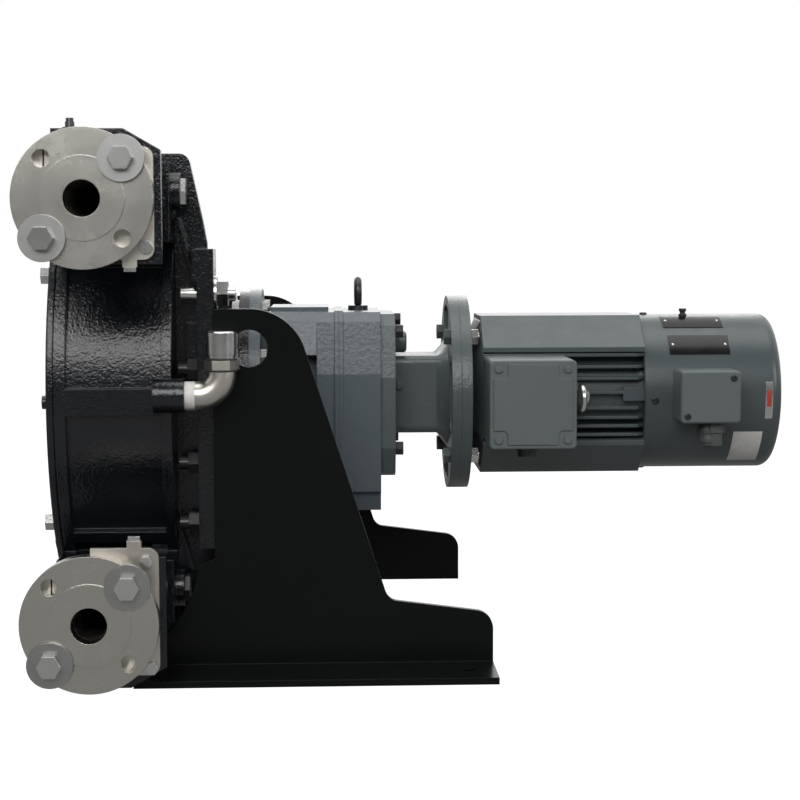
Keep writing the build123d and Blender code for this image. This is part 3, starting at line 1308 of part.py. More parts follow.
blade_count = 7
blade_tip_r = 88.0
fan_hub_r = 30.0
fan_x0 = 452.0
fan_w = 26.0
with BuildPart() as fan_wheel:
    add_ring(across(fan_x0, motor_z), fan_hub_r, 0, fan_w)
    for angle in even_angles(blade_count):
        a = radians(angle)
        root = Plane(origin=(fan_x0 + fan_w / 2, (fan_hub_r - 3) * cos(a), motor_z + (fan_hub_r - 3) * sin(a)),
                     x_dir=(0, -sin(a), cos(a)), z_dir=(0, cos(a), sin(a)))
        with BuildSketch(root) as blade:
            Rectangle(28, 3, rotation=38)
        with BuildSketch(root.offset(blade_tip_r - fan_hub_r + 3)) as tip:
            Rectangle(44, 2.4, rotation=24)
        loft([blade.sketch, tip.sketch])
    add_ring(across(fan_x0 + fan_w, motor_z), 6, 0, fan_motor_x0 + 28 - fan_x0 - fan_w)
finish(fan_wheel, "fan_wheel")

with BuildPart() as fan_terminal_box:
    with BuildSketch(facing_port(fan_box_back_y, (fan_box_x0 + fan_box_x1) / 2, fan_box_z)) as outline:
        RectangleRounded(fan_box_x1 - fan_box_x0, 2 * fan_box_half, 5)
    extrude(outline.sketch, amount=fan_box_back_y - fan_box_front_y)
    chamfer(fan_terminal_box.faces().sort_by(Axis.Y)[0].edges(), 2)
    add_ring(across(fan_box_x0 - 1, motor_z), cowl_r + seat_clear, 0, fan_box_x1 - fan_box_x0 + 2,
             mode=Mode.SUBTRACT)
finish(fan_terminal_box, "fan_terminal_box")

with BuildPart() as box_screws:
    with BuildSketch(facing_port(box_front_y - lid_t, 0, box_z)) as heads:
        with Locations(*lid_screw_points):
            Circle(4.5)
    extrude(heads.sketch, amount=2.5)
    with BuildSketch(facing_port(box_front_y - lid_t, 0, box_z)) as shanks:
        with Locations(*lid_screw_points):
            Circle(lid_screw_r)
    extrude(shanks.sketch, amount=-22)
finish(box_screws, "box_screws")

with BuildPart() as cable_glands:
    for x, y, z, r, drop in ((262, -150, box_z - box_half, 13, 14), (502, -126, fan_box_z - fan_box_half, 12, 30)):
        spot = Plane(origin=(x, y, z), x_dir=(1, 0, 0), z_dir=(0, 0, -1))
        with BuildSketch(spot) as body:
            RegularPolygon(r, 6, major_radius=False)
        extrude(body.sketch, amount=drop * 0.45)
        add_ring(spot.offset(drop * 0.45), r - 1.5, 0, drop * 0.55)
finish(cable_glands, "cable_glands")

with BuildPart() as motor_eyebolt:
    spot = facing_port(-fin_reach, 335, motor_z)
    add_ring(spot, 12, 0, 6)
    eye_y = -fin_reach - 6 - 17
    with BuildSketch(Plane(origin=(335, eye_y, motor_z + 14), x_dir=(1, 0, 0), z_dir=(0, 1, 0))) as wire:
        Circle(4.5)
    revolve(wire.sketch, Axis((335, eye_y, motor_z), (1, 0, 0)), revolution_arc=360)
finish(motor_eyebolt, "motor_eyebolt")
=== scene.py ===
# %% [markdown]
# # A hose pump and its geared motor
# A roller or shoe that squeezes a rubber hose is one of the oldest ways to move thick liquids. Here the
# hose lies in a cast iron casing, two stainless flanges carry its ends, and a gear unit with a cooled
# motor turns the rotor. The shapes come from the frame, so this lesson is about finish: black enamel over
# a rough casting, turned stainless steel, bright zinc, and satin paint on machined and cast aluminium.

import json
from math import cos, pi, radians, sin

import bmesh
import bpy
from mathutils import Matrix, Vector


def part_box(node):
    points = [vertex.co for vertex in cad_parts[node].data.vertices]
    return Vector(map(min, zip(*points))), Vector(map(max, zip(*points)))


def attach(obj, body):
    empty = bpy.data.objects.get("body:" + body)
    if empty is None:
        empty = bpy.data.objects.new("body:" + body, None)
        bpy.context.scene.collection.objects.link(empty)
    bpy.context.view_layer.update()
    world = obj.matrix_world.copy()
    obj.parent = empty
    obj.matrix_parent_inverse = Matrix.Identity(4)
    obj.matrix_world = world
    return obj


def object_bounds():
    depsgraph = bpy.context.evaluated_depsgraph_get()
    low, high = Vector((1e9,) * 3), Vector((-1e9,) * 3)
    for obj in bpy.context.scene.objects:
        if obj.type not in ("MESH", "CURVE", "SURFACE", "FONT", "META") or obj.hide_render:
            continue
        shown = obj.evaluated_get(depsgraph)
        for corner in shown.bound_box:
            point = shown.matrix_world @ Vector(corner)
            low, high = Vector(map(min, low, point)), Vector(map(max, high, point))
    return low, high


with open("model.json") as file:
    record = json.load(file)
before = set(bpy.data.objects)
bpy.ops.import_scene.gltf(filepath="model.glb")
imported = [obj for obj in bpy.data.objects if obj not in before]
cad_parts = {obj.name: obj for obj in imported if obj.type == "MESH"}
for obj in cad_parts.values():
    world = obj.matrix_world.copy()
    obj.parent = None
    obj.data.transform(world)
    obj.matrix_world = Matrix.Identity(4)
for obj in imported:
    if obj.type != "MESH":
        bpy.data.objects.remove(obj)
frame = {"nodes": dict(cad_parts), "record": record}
cad_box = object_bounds()
nodes = frame["nodes"]
record = frame["record"]
print(len(nodes), "nodes, box", cad_box)

# %% [markdown]
# Every place on the pump comes from the boxes of the frame's own nodes. The two flanges give the ports and the
# height of the pump's axis, and the fan cowl gives the height of the motor's axis.

# %% Places on the pump
def span(node):
    """The lowest corner, the highest corner and the middle of a node."""
    low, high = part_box(node)
    return low, high, (low + high) / 2


flanges_low, flanges_high, flanges_middle = span("port_flanges")
flange_r = (flanges_high.x - flanges_low.x) / 2
port_x = flanges_middle.x
pump_z = flanges_middle.z
port_reach = flanges_high.z - flange_r - pump_z
cowl_low, cowl_high, cowl_middle = span("fan_cowl")
motor_z = cowl_middle.z
cowl_r = (cowl_high.z - cowl_low.z) / 2
print("ports at", round(port_x, 4), round(pump_z - port_reach, 4), round(pump_z + port_reach, 4))

# %% [markdown]
# ## Camera
# The pump is seen from the side of its ports, from a little above its axis, with a long lens that keeps the
# flanges round. The camera's turn is built from three plain rotations: the tilt of the head, the swing
# towards the motor, and a hair of roll.

# %% Camera
camera_place = Vector((0.0156, -2.3873, 0.49565))
tilt_down = 0.0845
swing = 0.0392
roll = -0.0028
camera_data = bpy.data.cameras.new("camera")
camera_data.lens = 81.35
camera_data.sensor_width = 36.0
camera = bpy.data.objects.new("camera", camera_data)
bpy.context.scene.collection.objects.link(camera)
camera.matrix_world = (
    Matrix.Translation(camera_place)
    @ Matrix.Rotation(-swing, 4, "Z")
    @ Matrix.Rotation(pi / 2 - tilt_down, 4, "X")
    @ Matrix.Rotation(roll, 4, "Z")
)
bpy.context.scene.camera = camera
bpy.context.scene.view_settings.view_transform = "Standard"

# %% [markdown]
# ## Writing shaders as arithmetic
# A material is a small network of nodes. Wiring each link by hand hides what the network says, so one class
# wraps an output socket and lets Python's operators add the Math nodes. A second class holds the material
# and adds every other kind of node through one method.

# %% Sockets that can be added and multiplied
class Wire:
    """An output socket of a finish, for use in expressions."""

    def __init__(self, finish, socket):
        self.finish = finish
        self.socket = socket

    def maths(self, operation, other, swapped=False):
        pair = (other, self) if swapped else (self, other)
        return self.finish.node("Math", {"operation": operation}, {0: pair[0], 1: pair[1]})

    def __add__(self, other):
        return self.maths("ADD", other)

    def __radd__(self, other):
        return self.maths("ADD", other, swapped=True)

    def __sub__(self, other):
        return self.maths("SUBTRACT", other)

    def __rsub__(self, other):
        return self.maths("SUBTRACT", other, swapped=True)

    def __mul__(self, other):
        return self.maths("MULTIPLY", other)

    def __rmul__(self, other):
        return self.maths("MULTIPLY", other, swapped=True)

    def __truediv__(self, other):
        return self.maths("DIVIDE", other)

    def __pow__(self, power):
        return self.maths("POWER", power)

    def __abs__(self):
        return self.maths("ABSOLUTE", 0.0)


# %% A material and its one way to add a node
class Finish:
    """A material being made: its nodes, and the values of its surface."""

    def __init__(self, name, edge=0.0, **surface):
        self.material = bpy.data.materials.new(name)
        self.material.use_nodes = True
        self.tree = self.material.node_tree
        self.shader = self.tree.nodes["Principled BSDF"]
        self.place = self.node("TexCoord", out="Object")
        self.normal = None
        if edge > 0:
            self.normal = self.node("Bevel", {"samples": 4}, {"Radius": edge})
            self.surface(normal=self.normal)
        self.surface(**surface)

    def node(self, kind, settings=None, sockets=None, out=0):
        made = self.tree.nodes.new("ShaderNode" + kind)
        for name, value in (settings or {}).items():
            if name == "stops":
                self.set_stops(made.color_ramp.elements, value)
            else:
                setattr(made, name, value)
        for name, value in (sockets or {}).items():
            self.plug(made.inputs[name], value)
        return Wire(self, made.outputs[out])

    def set_stops(self, elements, stops):
        while len(elements) < len(stops):
            elements.new(1.0)
        for element, (position, grey) in zip(elements, stops):
            element.position = position
            element.color = (grey, grey, grey, 1.0)

    def plug(self, socket, value):
        if isinstance(value, Wire):
            self.tree.links.new(value.socket, socket)
        else:
            socket.default_value = value

    def surface(self, **values):
        """Sets or links sockets of the surface, named in lower case with underscores."""
        for name, value in values.items():
            self.plug(self.shader.inputs[name.replace("_", " ").title().replace("Ior", "IOR")], value)

    def noise(self, scale, detail=2.0, at=None):
        values = {"Vector": at or self.place, "Scale": scale, "Detail": detail}
        return self.node("TexNoise", None, values)

    def cells(self, scale, out="Distance"):
        return self.node("TexVoronoi", None, {"Vector": self.place, "Scale": scale}, out)

    def step(self, value, low, high):
        """0 below low, 1 above high, and smooth between them."""
        sockets = {"Value": value, "From Min": low, "From Max": high}
        return self.node("MapRange", {"interpolation_type": "SMOOTHSTEP"}, sockets)

    def stretched(self, x, y, z):
        """The object's coordinates, stretched along its axes."""
        return self.node("Mapping", None, {"Vector": self.place, "Scale": (x, y, z)})

    def axis(self, name):
        """One coordinate of the place, in metres."""
        return self.node("SeparateXYZ", None, {0: self.place}, name)

    def shade(self, mask, dark, light):
        """A colour between two colours."""
        colours = {0: mask, 6: (*dark, 1.0), 7: (*light, 1.0)}
        return self.node("Mix", {"data_type": "RGBA"}, colours, 2)

    def tint(self, mask, colour, over):
        """A colour laid over another one where the mask is 1."""
        return self.node("Mix", {"data_type": "RGBA"}, {0: mask, 6: over, 7: (*colour, 1.0)}, 2)

    def bump(self, height, distance, strength=1.0):
        """Adds relief, with the distance in metres, on top of the relief so far."""
        sockets = {"Height": height, "Distance": distance, "Strength": strength}
        if self.normal:
            sockets["Normal"] = self.normal
        self.normal = self.node("Bump", None, sockets)
        self.surface(normal=self.normal)


finishes = {}

# %% [markdown]
# ## Black enamel over a casting
# The casing is poured in sand, so its skin is lumpy at a few millimetres, with finer grains between. Thick
# glossy enamel rounds the lumps off and pools between them. Two sizes of noise make the relief, and a smooth
# gloss over a nearly black colour gives the broken, sparkling highlights.

# %% Cast black
def cast_black():
    finish = Finish("cast_black", edge=0.0022, specular_ior_level=0.55)
    peel = finish.noise(330.0, 3.0)
    ripples = finish.noise(150.0, 2.0)
    specks = finish.step(finish.cells(700.0), 0.0, 0.22)
    patches = finish.noise(14.0, 3.0)
    finish.surface(
        base_color=finish.shade(patches, (0.0035, 0.0045, 0.0065), (0.0070, 0.0085, 0.0110)),
        roughness=0.10 + 0.08 * patches,
    )
    finish.bump(ripples, 0.00035)
    finish.bump(peel, 0.00050)
    finish.bump(specks, 0.00010)
    return finish.material


finishes["cast_black"] = cast_black()

# %% [markdown]
# ## Powder coat on folded plate
# The side plates are cut and folded from sheet, so they are flat, and a satin powder coat gives them a very
# fine even texture. The gloss drifts a little over the plate, as a hand that wiped it leaves it.

# %% Plate black
def plate_black():
    finish = Finish("plate_black", edge=0.0012, specular_ior_level=0.16)
    grain = finish.noise(1500.0, 1.0)
    wiped = finish.noise(6.0, 2.0)
    finish.surface(
        base_color=finish.shade(wiped, (0.0030, 0.0036, 0.0038), (0.0048, 0.0056, 0.0058)),
        roughness=0.20 + 0.08 * wiped,
    )
    finish.bump(grain, 0.00007)
    return finish.material


finishes["plate_black"] = plate_black()

# %% [markdown]
# ## Stainless steel
# The flanges are turned on a lathe, which leaves fine rings about the port. Distance from the port's axis,
# fed to a noise that only varies along one line, gives such rings. Height above or below the pump's axis is
# folded with an absolute value, so that one formula serves both ports. Small fittings get a plain finish.

# %% Stainless steel and its turned face
def steel_base(name, tone, roughness, edge=0.0008):
    finish = Finish(name, edge=edge, metallic=1.0)
    cloud = finish.noise(38.0, 4.0)
    smear = finish.noise(14.0, 2.0)
    finish.surface(
        base_color=finish.shade(cloud, [0.90 * t for t in tone], tone),
        roughness=roughness - 0.04 + 0.08 * cloud + 0.05 * smear,
    )
    return finish


def stainless():
    finish = steel_base("stainless", (0.64, 0.61, 0.55), 0.30)
    finish.bump(finish.noise(600.0, 3.0), 0.00012)
    return finish.material


def turned_stainless():
    finish = steel_base("turned_stainless", (0.58, 0.565, 0.515), 0.24)
    across = finish.axis("X") - port_x
    along = abs(finish.axis("Z") - pump_z) - port_reach
    radius = (across * across + along * along) ** 0.5
    ring_place = finish.node("CombineXYZ", None, {0: radius})
    fine = finish.noise(1800.0, 1.0, ring_place)
    finish.bump(fine, 0.00004)
    return finish.material


finishes["stainless"] = stainless()

# %% [markdown]
# ## Bright zinc, black oxide and bare machined steel
# Bolts are zinc plated: mirror-like, but with a slight grain and a cold tone. The eyebolt of the gear unit and
# its screws are oiled black. Shafts and gears are ground and keep a fine grain.

# %% Plated and bare steel
def zinc():
    finish = steel_base("zinc", (0.66, 0.66, 0.645), 0.20)
    finish.bump(finish.noise(420.0, 3.0), 0.00010)
    return finish.material


def dull_washer():
    finish = steel_base("dull_washer", (0.40, 0.40, 0.39), 0.34)
    finish.bump(finish.noise(900.0, 3.0), 0.00010)
    return finish.material


def machined_steel():
    return steel_base("machined_steel", (0.56, 0.56, 0.56), 0.28).material


def shoe_alloy():
    return steel_base("shoe_alloy", (0.76, 0.77, 0.78), 0.34).material


def rotor_iron():
    finish = steel_base("rotor_iron", (0.36, 0.36, 0.37), 0.46)
    finish.bump(finish.noise(420.0, 3.0), 0.0003)
    return finish.material


def black_bolt():
    finish = Finish("black_bolt", edge=0.0006, specular_ior_level=0.6)
    worn = finish.noise(260.0, 3.0)
    finish.surface(
        base_color=finish.shade(worn, (0.008, 0.008, 0.009), (0.024, 0.024, 0.026)),
        roughness=0.24 + 0.2 * worn,
    )
    finish.bump(finish.noise(1100.0, 1.0), 0.0001)
    return finish.material


def part_plated(name, dark, axis, low, high):
    """Bright zinc above a place along one axis, and painted over below it."""
    finish = Finish(name, edge=0.0006)
    bright = finish.step(finish.axis(axis), low, high)
    finish.surface(
        base_color=finish.shade(bright, dark, (0.66, 0.66, 0.645)),
        metallic=bright,
        roughness=0.30 - 0.10 * bright,
    )
    finish.bump(finish.noise(420.0, 3.0), 0.00010)
    return finish.material


for maker in (zinc, machined_steel, shoe_alloy, rotor_iron, black_bolt):
    finishes[maker.__name__] = maker()

# %% [markdown]
# ## Machine paint
# The gear unit and the motor are sprayed, which leaves a satin skin with a soft orange peel. The castings
# under it are smoother than the pump's, and dust settles on faces that look up.

# %% Satin paints
def machine_paint(name, tone, roughness, peel, lumps=0.0):
    finish = Finish(name, edge=0.0018, specular_ior_level=0.5)
    drift = finish.noise(7.0, 3.0)
    skin = finish.noise(520.0, 2.0)
    grit = finish.noise(1500.0, 2.0)
    upward = finish.node("SeparateXYZ", None, {0: finish.node("NewGeometry", out="Normal")}, "Z")
    dust = finish.step(upward, 0.45, 1.0) * finish.step(finish.noise(26.0, 5.0), 0.30, 0.80)
    painted = finish.shade(drift, [0.92 * t for t in tone], [1.07 * t for t in tone])
    finish.surface(
        base_color=finish.tint(0.16 * dust, (0.42, 0.43, 0.42), painted),
        roughness=roughness + 0.06 * drift + 0.10 * dust,
    )
    if lumps > 0:
        finish.bump(finish.noise(170.0, 3.0), lumps)
    finish.bump(skin, peel)
    finish.bump(grit, 0.00008)
    return finish.material


finishes["gear_grey"] = machine_paint("gear_grey", (0.098, 0.120, 0.134), 0.23, 0.00018, 0.0005)
finishes["motor_grey"] = machine_paint("motor_grey", (0.066, 0.083, 0.086), 0.26, 0.00012)
finishes["box_grey"] = machine_paint("box_grey", (0.112, 0.136, 0.132), 0.36, 0.00012)

# %% [markdown]
# ## Rubber, plastics, windings and the window
# Rubber is dark, dull and faintly wrapped. Nylon is milky, moulded plastic has a soft grain, and the window in
# the front cover is clear, thick polycarbonate.

# %% Soft and moulded finishes
def moulded(name, tone, roughness, grain):
    finish = Finish(name, edge=0.0006, specular_ior_level=0.4)
    mottle = finish.noise(120.0, 3.0)
    finish.surface(
        base_color=finish.shade(mottle, [0.85 * t for t in tone], [1.1 * t for t in tone]),
        roughness=roughness + 0.15 * mottle,
    )
    finish.bump(finish.noise(900.0, 2.0), grain)
    return finish


def hose_rubber():
    finish = moulded("hose_rubber", (0.022, 0.022, 0.022), 0.42, 0.0001)
    wraps = finish.noise(90.0, 1.0, finish.stretched(0.4, 4.0, 0.4))
    finish.bump(wraps, 0.0006)
    return finish.material


def clear_window():
    finish = Finish("clear_window", transmission_weight=1.0, ior=1.58)
    haze = finish.noise(60.0, 3.0)
    finish.surface(
        base_color=finish.shade(haze, (0.86, 0.91, 0.90), (0.95, 0.98, 0.97)),
        roughness=0.04 + 0.05 * haze,
    )
    return finish.material


def winding():
    finish = moulded("winding", (0.30, 0.10, 0.035), 0.3, 0.0001)
    finish.bump(finish.noise(700.0, 1.0, finish.stretched(0.05, 1.0, 1.0)), 0.0008)
    return finish.material


finishes["seal_rubber"] = moulded("seal_rubber", (0.03, 0.03, 0.03), 0.5, 0.0002).material
finishes["white_nylon"] = moulded("white_nylon", (0.74, 0.73, 0.70), 0.38, 0.0001).material
finishes["black_plastic"] = moulded("black_plastic", (0.022, 0.023, 0.024), 0.36, 0.0002).material
finishes["spider_red"] = moulded("spider_red", (0.42, 0.05, 0.035), 0.45, 0.0002).material
for maker in (hose_rubber, clear_window, winding):
    finishes[maker.__name__] = maker()
print(len(finishes), "finishes for", len(record["materials"]), "slots")

# %% [markdown]
# ## Dressing the frame
# Each node names a slot of the record, so one loop dresses them all. A few nodes take a special version of
# their slot's finish.

# %% Give each node its finish
def dress(piece, material):
    piece.data.materials.clear()
    piece.data.materials.append(material)


adapter_grey = machine_paint("adapter_grey", (0.088, 0.108, 0.108), 0.26, 0.00018, 0.0005)
flange_middle = (span("motor_flange")[0].x + span("motor_flange")[1].x) / 2
special = {
    "motor_adapter": adapter_grey,
    "motor_flange": adapter_grey,
    "oil_plugs": adapter_grey,
    "plate_bolts": part_plated("plate_bolts", (0.012, 0.012, 0.013), "Z", pump_z + 0.08, pump_z + 0.09),
    "flange_nuts": part_plated("flange_nuts", (0.07, 0.085, 0.085), "X", flange_middle, flange_middle + 0.002),
    "box_screws": finishes["box_grey"],
    "port_flanges": turned_stainless(),
    "transit_washers": dull_washer(),
    "cable_glands": moulded("gland_grey", (0.075, 0.085, 0.082), 0.34, 0.0001).material,
}
for subpart in record["subparts"]:
    node = subpart["node"]
    dress(nodes[node], special.get(node, finishes[subpart["material_slot"]]))

# %% [markdown]
# ## Tools for the small pieces
# A piece that was added as by hand is left selected all over, so every start clears the selection first. Each
# finished piece has its place in its mesh, rides on the body that carries it, and takes its finish.

# %% Starting and settling a piece
def start():
    """Leaves nothing selected."""
    if bpy.context.object and bpy.context.object.mode != "OBJECT":
        bpy.ops.object.mode_set(mode="OBJECT")
    bpy.ops.object.select_all(action="DESELECT")


def settle(name, finish, smooth=35.0):
    """Names the active piece, fixes its place in its mesh and dresses it."""
    piece = bpy.context.object
    piece.name = name
    bpy.ops.object.transform_apply(location=True, rotation=True, scale=True)
    bpy.ops.object.shade_smooth_by_angle(angle=radians(smooth))
    dress(piece, finish)
    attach(piece, "root")
    return piece


def apply_all():
    """Applies every modifier of the active piece, in order."""
    piece = bpy.context.object
    for modifier in list(piece.modifiers):
        bpy.ops.object.modifier_apply(modifier=modifier.name)


def select_faces(wanted):
    """Selects the faces of the open mesh that pass a test on their middle and normal."""
    bpy.ops.mesh.select_all(action="DESELECT")
    bpy.ops.mesh.select_mode(type="FACE")
    mesh = bmesh.from_edit_mesh(bpy.context.object.data)
    for face in mesh.faces:
        face.select = wanted(face.calc_center_median(), face.normal)
    mesh.select_flush_mode()
    bmesh.update_edit_mesh(bpy.context.object.data)


def joined(pieces, name, finish):
    """One piece made of several."""
    start()
    for piece in pieces:
        piece.select_set(True)
    bpy.context.view_layer.objects.active = pieces[0]
    bpy.ops.object.join()
    return settle(name, finish)


# %% [markdown]
# ## Blank plates on the cowl
# A rating plate is a thin sheet bent to the cowl and held by a rivet at each end. A drum of the cowl's radius,
# cut by two planes through the motor's axis, leaves just the bent sheet. Solidify gives it its thickness. The
# plates and stickers here stay blank.

# %% Bent plates and stickers
def bent_plate(x0, x1, low, high, thickness, radius=0.0):
    """A sheet on the cowl between two places along it and two angles up from its front."""
    start()
    lift = (radius or cowl_r) + 0.0002
    bpy.ops.mesh.primitive_cylinder_add(
        vertices=240, radius=lift, depth=x1 - x0, end_fill_type="NOTHING",
        location=((x0 + x1) / 2, 0, motor_z), rotation=(0, pi / 2, 0),
    )
    bpy.ops.object.transform_apply(location=True, rotation=True, scale=True)
    bpy.ops.object.mode_set(mode="EDIT")
    for angle, lower in ((radians(low), True), (radians(high), False)):
        bpy.ops.mesh.select_all(action="SELECT")
        bpy.ops.mesh.bisect(
            plane_co=(0, 0, motor_z), plane_no=(0, sin(angle), cos(angle)),
            clear_inner=lower, clear_outer=not lower,
        )
    bpy.ops.object.mode_set(mode="OBJECT")
    sheet = bpy.context.object.modifiers.new("sheet", "SOLIDIFY")
    sheet.thickness = thickness
    sheet.offset = 1.0
    apply_all()
    return bpy.context.object


def on_cowl(x, angle, lift=0.0):
    """A place on the cowl, at an angle up from its front."""
    reach = cowl_r + lift
    return Vector((x, -reach * cos(radians(angle)), motor_z + reach * sin(radians(angle))))


plate_low, plate_high = 31.0, 48.0
upper_low, upper_high = 57.0, 76.0
plate_x0 = cowl_low.x + 0.033
plate_x1 = plate_x0 + 0.078
plate_lacquer = moulded("plate_lacquer", (0.006, 0.006, 0.007), 0.12, 0.00002).material
for name, x0, x1, low, high in (
    ("rating_plate_front", plate_x0, plate_x1, plate_low, plate_high),
    ("rating_plate_top", plate_x0 - 0.003, plate_x1 - 0.003, upper_low, upper_high),
):
    bent_plate(x0, x1, low, high, 0.0008)
    settle(name, plate_lacquer)
bent_plate(cowl_high.x - 0.062, cowl_high.x - 0.024, -60.0, -27.5, 0.0002)
settle("blank_label", finishes["white_nylon"])
bent_plate(cowl_high.x - 0.0235, cowl_high.x - 0.0135, -17.0, 10.0, 0.0002)
settle("blank_sticker", finishes["zinc"])
bent_plate(cowl_high.x - 0.0215, cowl_high.x - 0.0155, -8.0, 4.0, 0.0002, cowl_r + 0.0003)
settle("red_patch", finishes["spider_red"])
print("plates on a cowl of radius", round(cowl_r, 4))


# %% [markdown]
# ## Rivets and screws
# A rivet is a low dome. A sphere squeezed along its axis, with its lower half in the sheet, gives one. A pan
# head screw is a disc whose rim is rounded, with a recess made by an inset and a push inwards.

# %% Rivets and pan head screws
def facing(direction):
    """The turn that takes the vertical onto a direction."""
    return Vector(direction).to_track_quat("Z", "Y").to_euler()


def rivet(place, direction, radius):
    start()
    bpy.ops.mesh.primitive_uv_sphere_add(
        segments=20, ring_count=10, radius=radius,
        location=place, rotation=facing(direction), scale=(1, 1, 0.5),
    )
    bpy.ops.object.transform_apply(location=True, rotation=True, scale=True)
    return bpy.context.object


def pan_screw(place, direction, radius, height):
    start()
    bpy.ops.mesh.primitive_cylinder_add(vertices=28, radius=radius, depth=height)
    bpy.ops.object.mode_set(mode="EDIT")
    select_faces(lambda middle, normal: normal.z > 0.9)
    bpy.ops.mesh.bevel(offset=0.32 * height, segments=3, affect="EDGES")
    select_faces(lambda middle, normal: normal.z > 0.99)
    bpy.ops.mesh.inset(thickness=0.42 * radius)
    bpy.ops.mesh.extrude_region_move(TRANSFORM_OT_translate={"value": (0, 0, -0.5 * height)})
    bpy.ops.object.mode_set(mode="OBJECT")
    piece = bpy.context.object
    piece.rotation_euler = facing(direction)
    piece.location = Vector(place)
    bpy.ops.object.transform_apply(location=True, rotation=True, scale=True)
    return piece


def outward(angle):
    return (0.0, -cos(radians(angle)), sin(radians(angle)))


rivets = []
for x0, x1, low, high in (
    (plate_x0, plate_x1, plate_low, plate_high), (plate_x0 - 0.003, plate_x1 - 0.003, upper_low, upper_high)
):
    angle = (low + high) / 2
    for x in (x0 + 0.005, x1 - 0.005):
        rivets.append(rivet(on_cowl(x, angle, 0.0009), outward(angle), 0.0019))
joined(rivets, "plate_rivets", finishes["zinc"])
screws = [
    pan_screw(on_cowl(cowl_low.x + 0.012, angle, 0.0008), outward(angle), 0.0048, 0.0032)
    for angle in (-3.0, 87.0, 177.0, 267.0)
]
joined(screws, "cowl_screws", finishes["black_bolt"])
fan_box_low, fan_box_high, fan_box_middle = span("fan_terminal_box")
corners = [(fan_box_high.x - 0.009, fan_box_high.z - 0.009), (fan_box_low.x + 0.009, fan_box_low.z + 0.009)]
screws = [pan_screw((x, fan_box_low.y - 0.0008, z), (0, -1, 0), 0.0042, 0.0028) for x, z in corners]
joined(screws, "fan_box_screws", finishes["black_bolt"])

# %% [markdown]
# ## Vent knob, port bolt and the rings of the breather
# Three small turned pieces finish the outline. The knob on top of the cowl has a waist, so it is a disc that
# is pulled up and drawn in. The breather's cap is sealed by two black cords, which are plain rings.

# %% Small turned pieces
def stepped_knob(place, direction, steps, sides=32):
    """A turned knob: each step gives a radius and how far it rises."""
    start()
    first_radius, first_rise = steps[0]
    bpy.ops.mesh.primitive_cylinder_add(vertices=sides, radius=first_radius, depth=first_rise)
    bpy.ops.object.mode_set(mode="EDIT")
    before = first_radius
    for radius, rise in steps[1:]:
        top = max(v.co.z for v in bmesh.from_edit_mesh(bpy.context.object.data).verts)
        select_faces(lambda middle, normal: normal.z > 0.9 and middle.z > top - 1e-5)
        bpy.ops.mesh.extrude_region_move()
        bpy.ops.transform.resize(value=(radius / before, radius / before, 1.0))
        bpy.ops.mesh.extrude_region_move(TRANSFORM_OT_translate={"value": (0, 0, rise)})
        before = radius
    bpy.ops.object.mode_set(mode="OBJECT")
    piece = bpy.context.object
    rounded = piece.modifiers.new("edges", "BEVEL")
    rounded.width = 0.0004
    rounded.segments = 2
    apply_all()
    piece.rotation_euler = facing(direction)
    piece.location = Vector(place)
    bpy.ops.object.transform_apply(location=True, rotation=True, scale=True)
    return piece


knob_steps = [(0.0052, 0.004), (0.0036, 0.003), (0.0048, 0.004)]
stepped_knob(on_cowl(cowl_low.x + 0.0615, 78.0, 0.001), (0, 0, 1), knob_steps)
settle("vent_knob", finishes["black_plastic"])
bracket_high = span("port_brackets")[1]
plate_top = pump_z + port_reach + 0.076
bolt_steps = [(0.0085, 0.003), (0.0052, 0.006), (0.0042, 0.004)]
stepped_knob((port_x - 0.016, bracket_high.y + 0.008, plate_top), (0, 0, 1), bolt_steps)
settle("port_plate_bolt", finishes["black_bolt"])

gland_steps = [
    (0.0125, 0.008), (0.0138, 0.007), (0.0128, 0.005), (0.0138, 0.007), (0.0115, 0.004), (0.0070, 0.002)
]
gland_place = (fan_box_middle.x + 0.003, fan_box_middle.y, fan_box_low.z - 0.003)
stepped_knob(gland_place, (0, 0, -1), gland_steps, 24)
settle("fan_box_gland", special["cable_glands"])
vent_x = 0.106
vent_z = 0.316
found, screw_place = nodes["motor_adapter"].ray_cast((vent_x, -1.0, vent_z), (0, 1, 0))[:2]
print("vent screw at", found, screw_place)
if found:
    stepped_knob(screw_place, (0, -1, 0), [(0.0066, 0.004), (0.0058, 0.003), (0.0030, 0.003)], 6)
    settle("vent_screw", finishes["zinc"])

cap_low, cap_high, cap_middle = span("breather_cap")
nut_low, nut_high = span("breather_nut")[:2]
cap_half = (cap_high.y - cap_low.y) / 2
nut_half = (nut_high.y - nut_low.y) / 2
cords = []
for height, radius in ((nut_high.z + 0.0012, cap_half + 0.0003), (nut_low.z - 0.0010, nut_half - 0.0003)):
    start()
    bpy.ops.mesh.primitive_torus_add(
        major_radius=radius, minor_radius=0.0012, major_segments=56, minor_segments=12,
        location=(cap_middle.x, cap_middle.y, height),
    )
    bpy.ops.object.transform_apply(location=True, rotation=True, scale=True)
    cords.append(bpy.context.object)
    print("breather ring", round(height, 4), round(radius, 4))
joined(cords, "breather_seals", finishes["seal_rubber"])

# %% [markdown]
# ## Studio
# A plain pale floor runs up into nothing, and a white world stands behind it for the eye and for reflections.
# The lamps are large and soft. Each lamp's power grows with the square of its distance, so its share of the
# light is a plain number: shares that add up to about 1 show a colour as it is written.

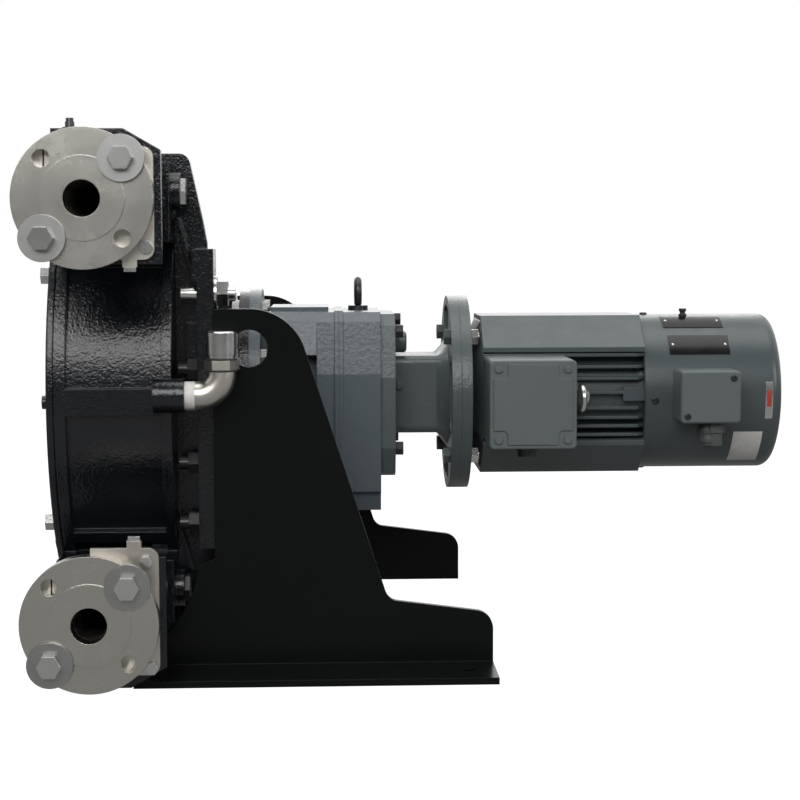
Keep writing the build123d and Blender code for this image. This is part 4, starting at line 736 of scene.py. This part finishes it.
# %% Floor, world and lamps
floor_size = 60.0
bpy.ops.mesh.primitive_plane_add(size=floor_size, location=(0, 0, 0))
floor = bpy.context.object
floor.name = "floor"
floor_finish = Finish("floor", base_color=(0.17, 0.17, 0.17, 1.0), roughness=0.9, specular_ior_level=0.05)
seen = floor_finish.node("LightPath", out="Is Camera Ray")
mirrored = floor_finish.node("LightPath", out="Is Glossy Ray")
through = floor_finish.node("LightPath", out="Is Transmission Ray")
floor_finish.surface(emission_color=(1.0, 1.0, 1.0, 1.0))
floor_finish.surface(emission_strength=1.0 * seen + 1.0 * through + 0.16 * mirrored)
dress(floor, floor_finish.material)


def studio_world(ambient, front):
    """White to the eye and through glass. Mirrors see white behind the pump and a dim room in front."""
    world = bpy.data.worlds.new("studio")
    bpy.context.scene.world = world
    world.use_nodes = True
    tree = world.node_tree
    back = tree.nodes["Background"]
    back.inputs["Color"].default_value = (1.0, 1.0, 1.0, 1.0)

    def sums(operation, one, two):
        node = tree.nodes.new("ShaderNodeMath")
        node.operation = operation
        for socket, value in zip(node.inputs, (one, two)):
            if isinstance(value, float):
                socket.default_value = value
            else:
                tree.links.new(value, socket)
        return node.outputs[0]

    path = tree.nodes.new("ShaderNodeLightPath").outputs
    split = tree.nodes.new("ShaderNodeSeparateXYZ")
    tree.links.new(tree.nodes.new("ShaderNodeTexCoord").outputs["Generated"], split.inputs[0])
    behind = tree.nodes.new("ShaderNodeMapRange")
    behind.interpolation_type = "SMOOTHSTEP"
    tree.links.new(split.outputs["Y"], behind.inputs["Value"])
    for name, value in (("From Min", -0.55), ("From Max", 0.35), ("To Min", front), ("To Max", 1.0)):
        behind.inputs[name].default_value = value
    bright = sums("MAXIMUM", path["Is Camera Ray"], path["Is Transmission Ray"])
    mirror = sums("MULTIPLY", path["Is Glossy Ray"], behind.outputs[0])
    tree.links.new(sums("MAXIMUM", sums("MAXIMUM", bright, mirror), ambient), back.inputs["Strength"])


def lamp(name, place, aim, size, share, tone=(1.0, 1.0, 1.0)):
    data = bpy.data.lights.new(name, "AREA")
    data.shape = "RECTANGLE"
    data.size, data.size_y = size
    data.color = tone
    place = Vector(place)
    aim = Vector(aim)
    data.energy = share * pi * pi * (place - aim).length_squared
    lit = bpy.data.objects.new(name, data)
    lit.visible_camera = False
    bpy.context.scene.collection.objects.link(lit)
    lit.matrix_world = Matrix.Translation(place) @ (aim - place).to_track_quat("-Z", "Y").to_matrix().to_4x4()


studio_world(0.07, 0.12)
middle = (cad_box[0] + cad_box[1]) / 2
lamp("key", (-0.5, -2.9, 1.90), middle, (2.6, 1.5), 0.56)
lamp("fill", (2.7, -2.2, 1.5), middle, (1.2, 1.6), 0.22)
lamp("overhead", (0.2, -0.3, 2.8), middle, (2.8, 1.6), 0.42)
lamp("rim", (0.2, 2.6, 1.5), middle, (2.4, 1.2), 0.25)
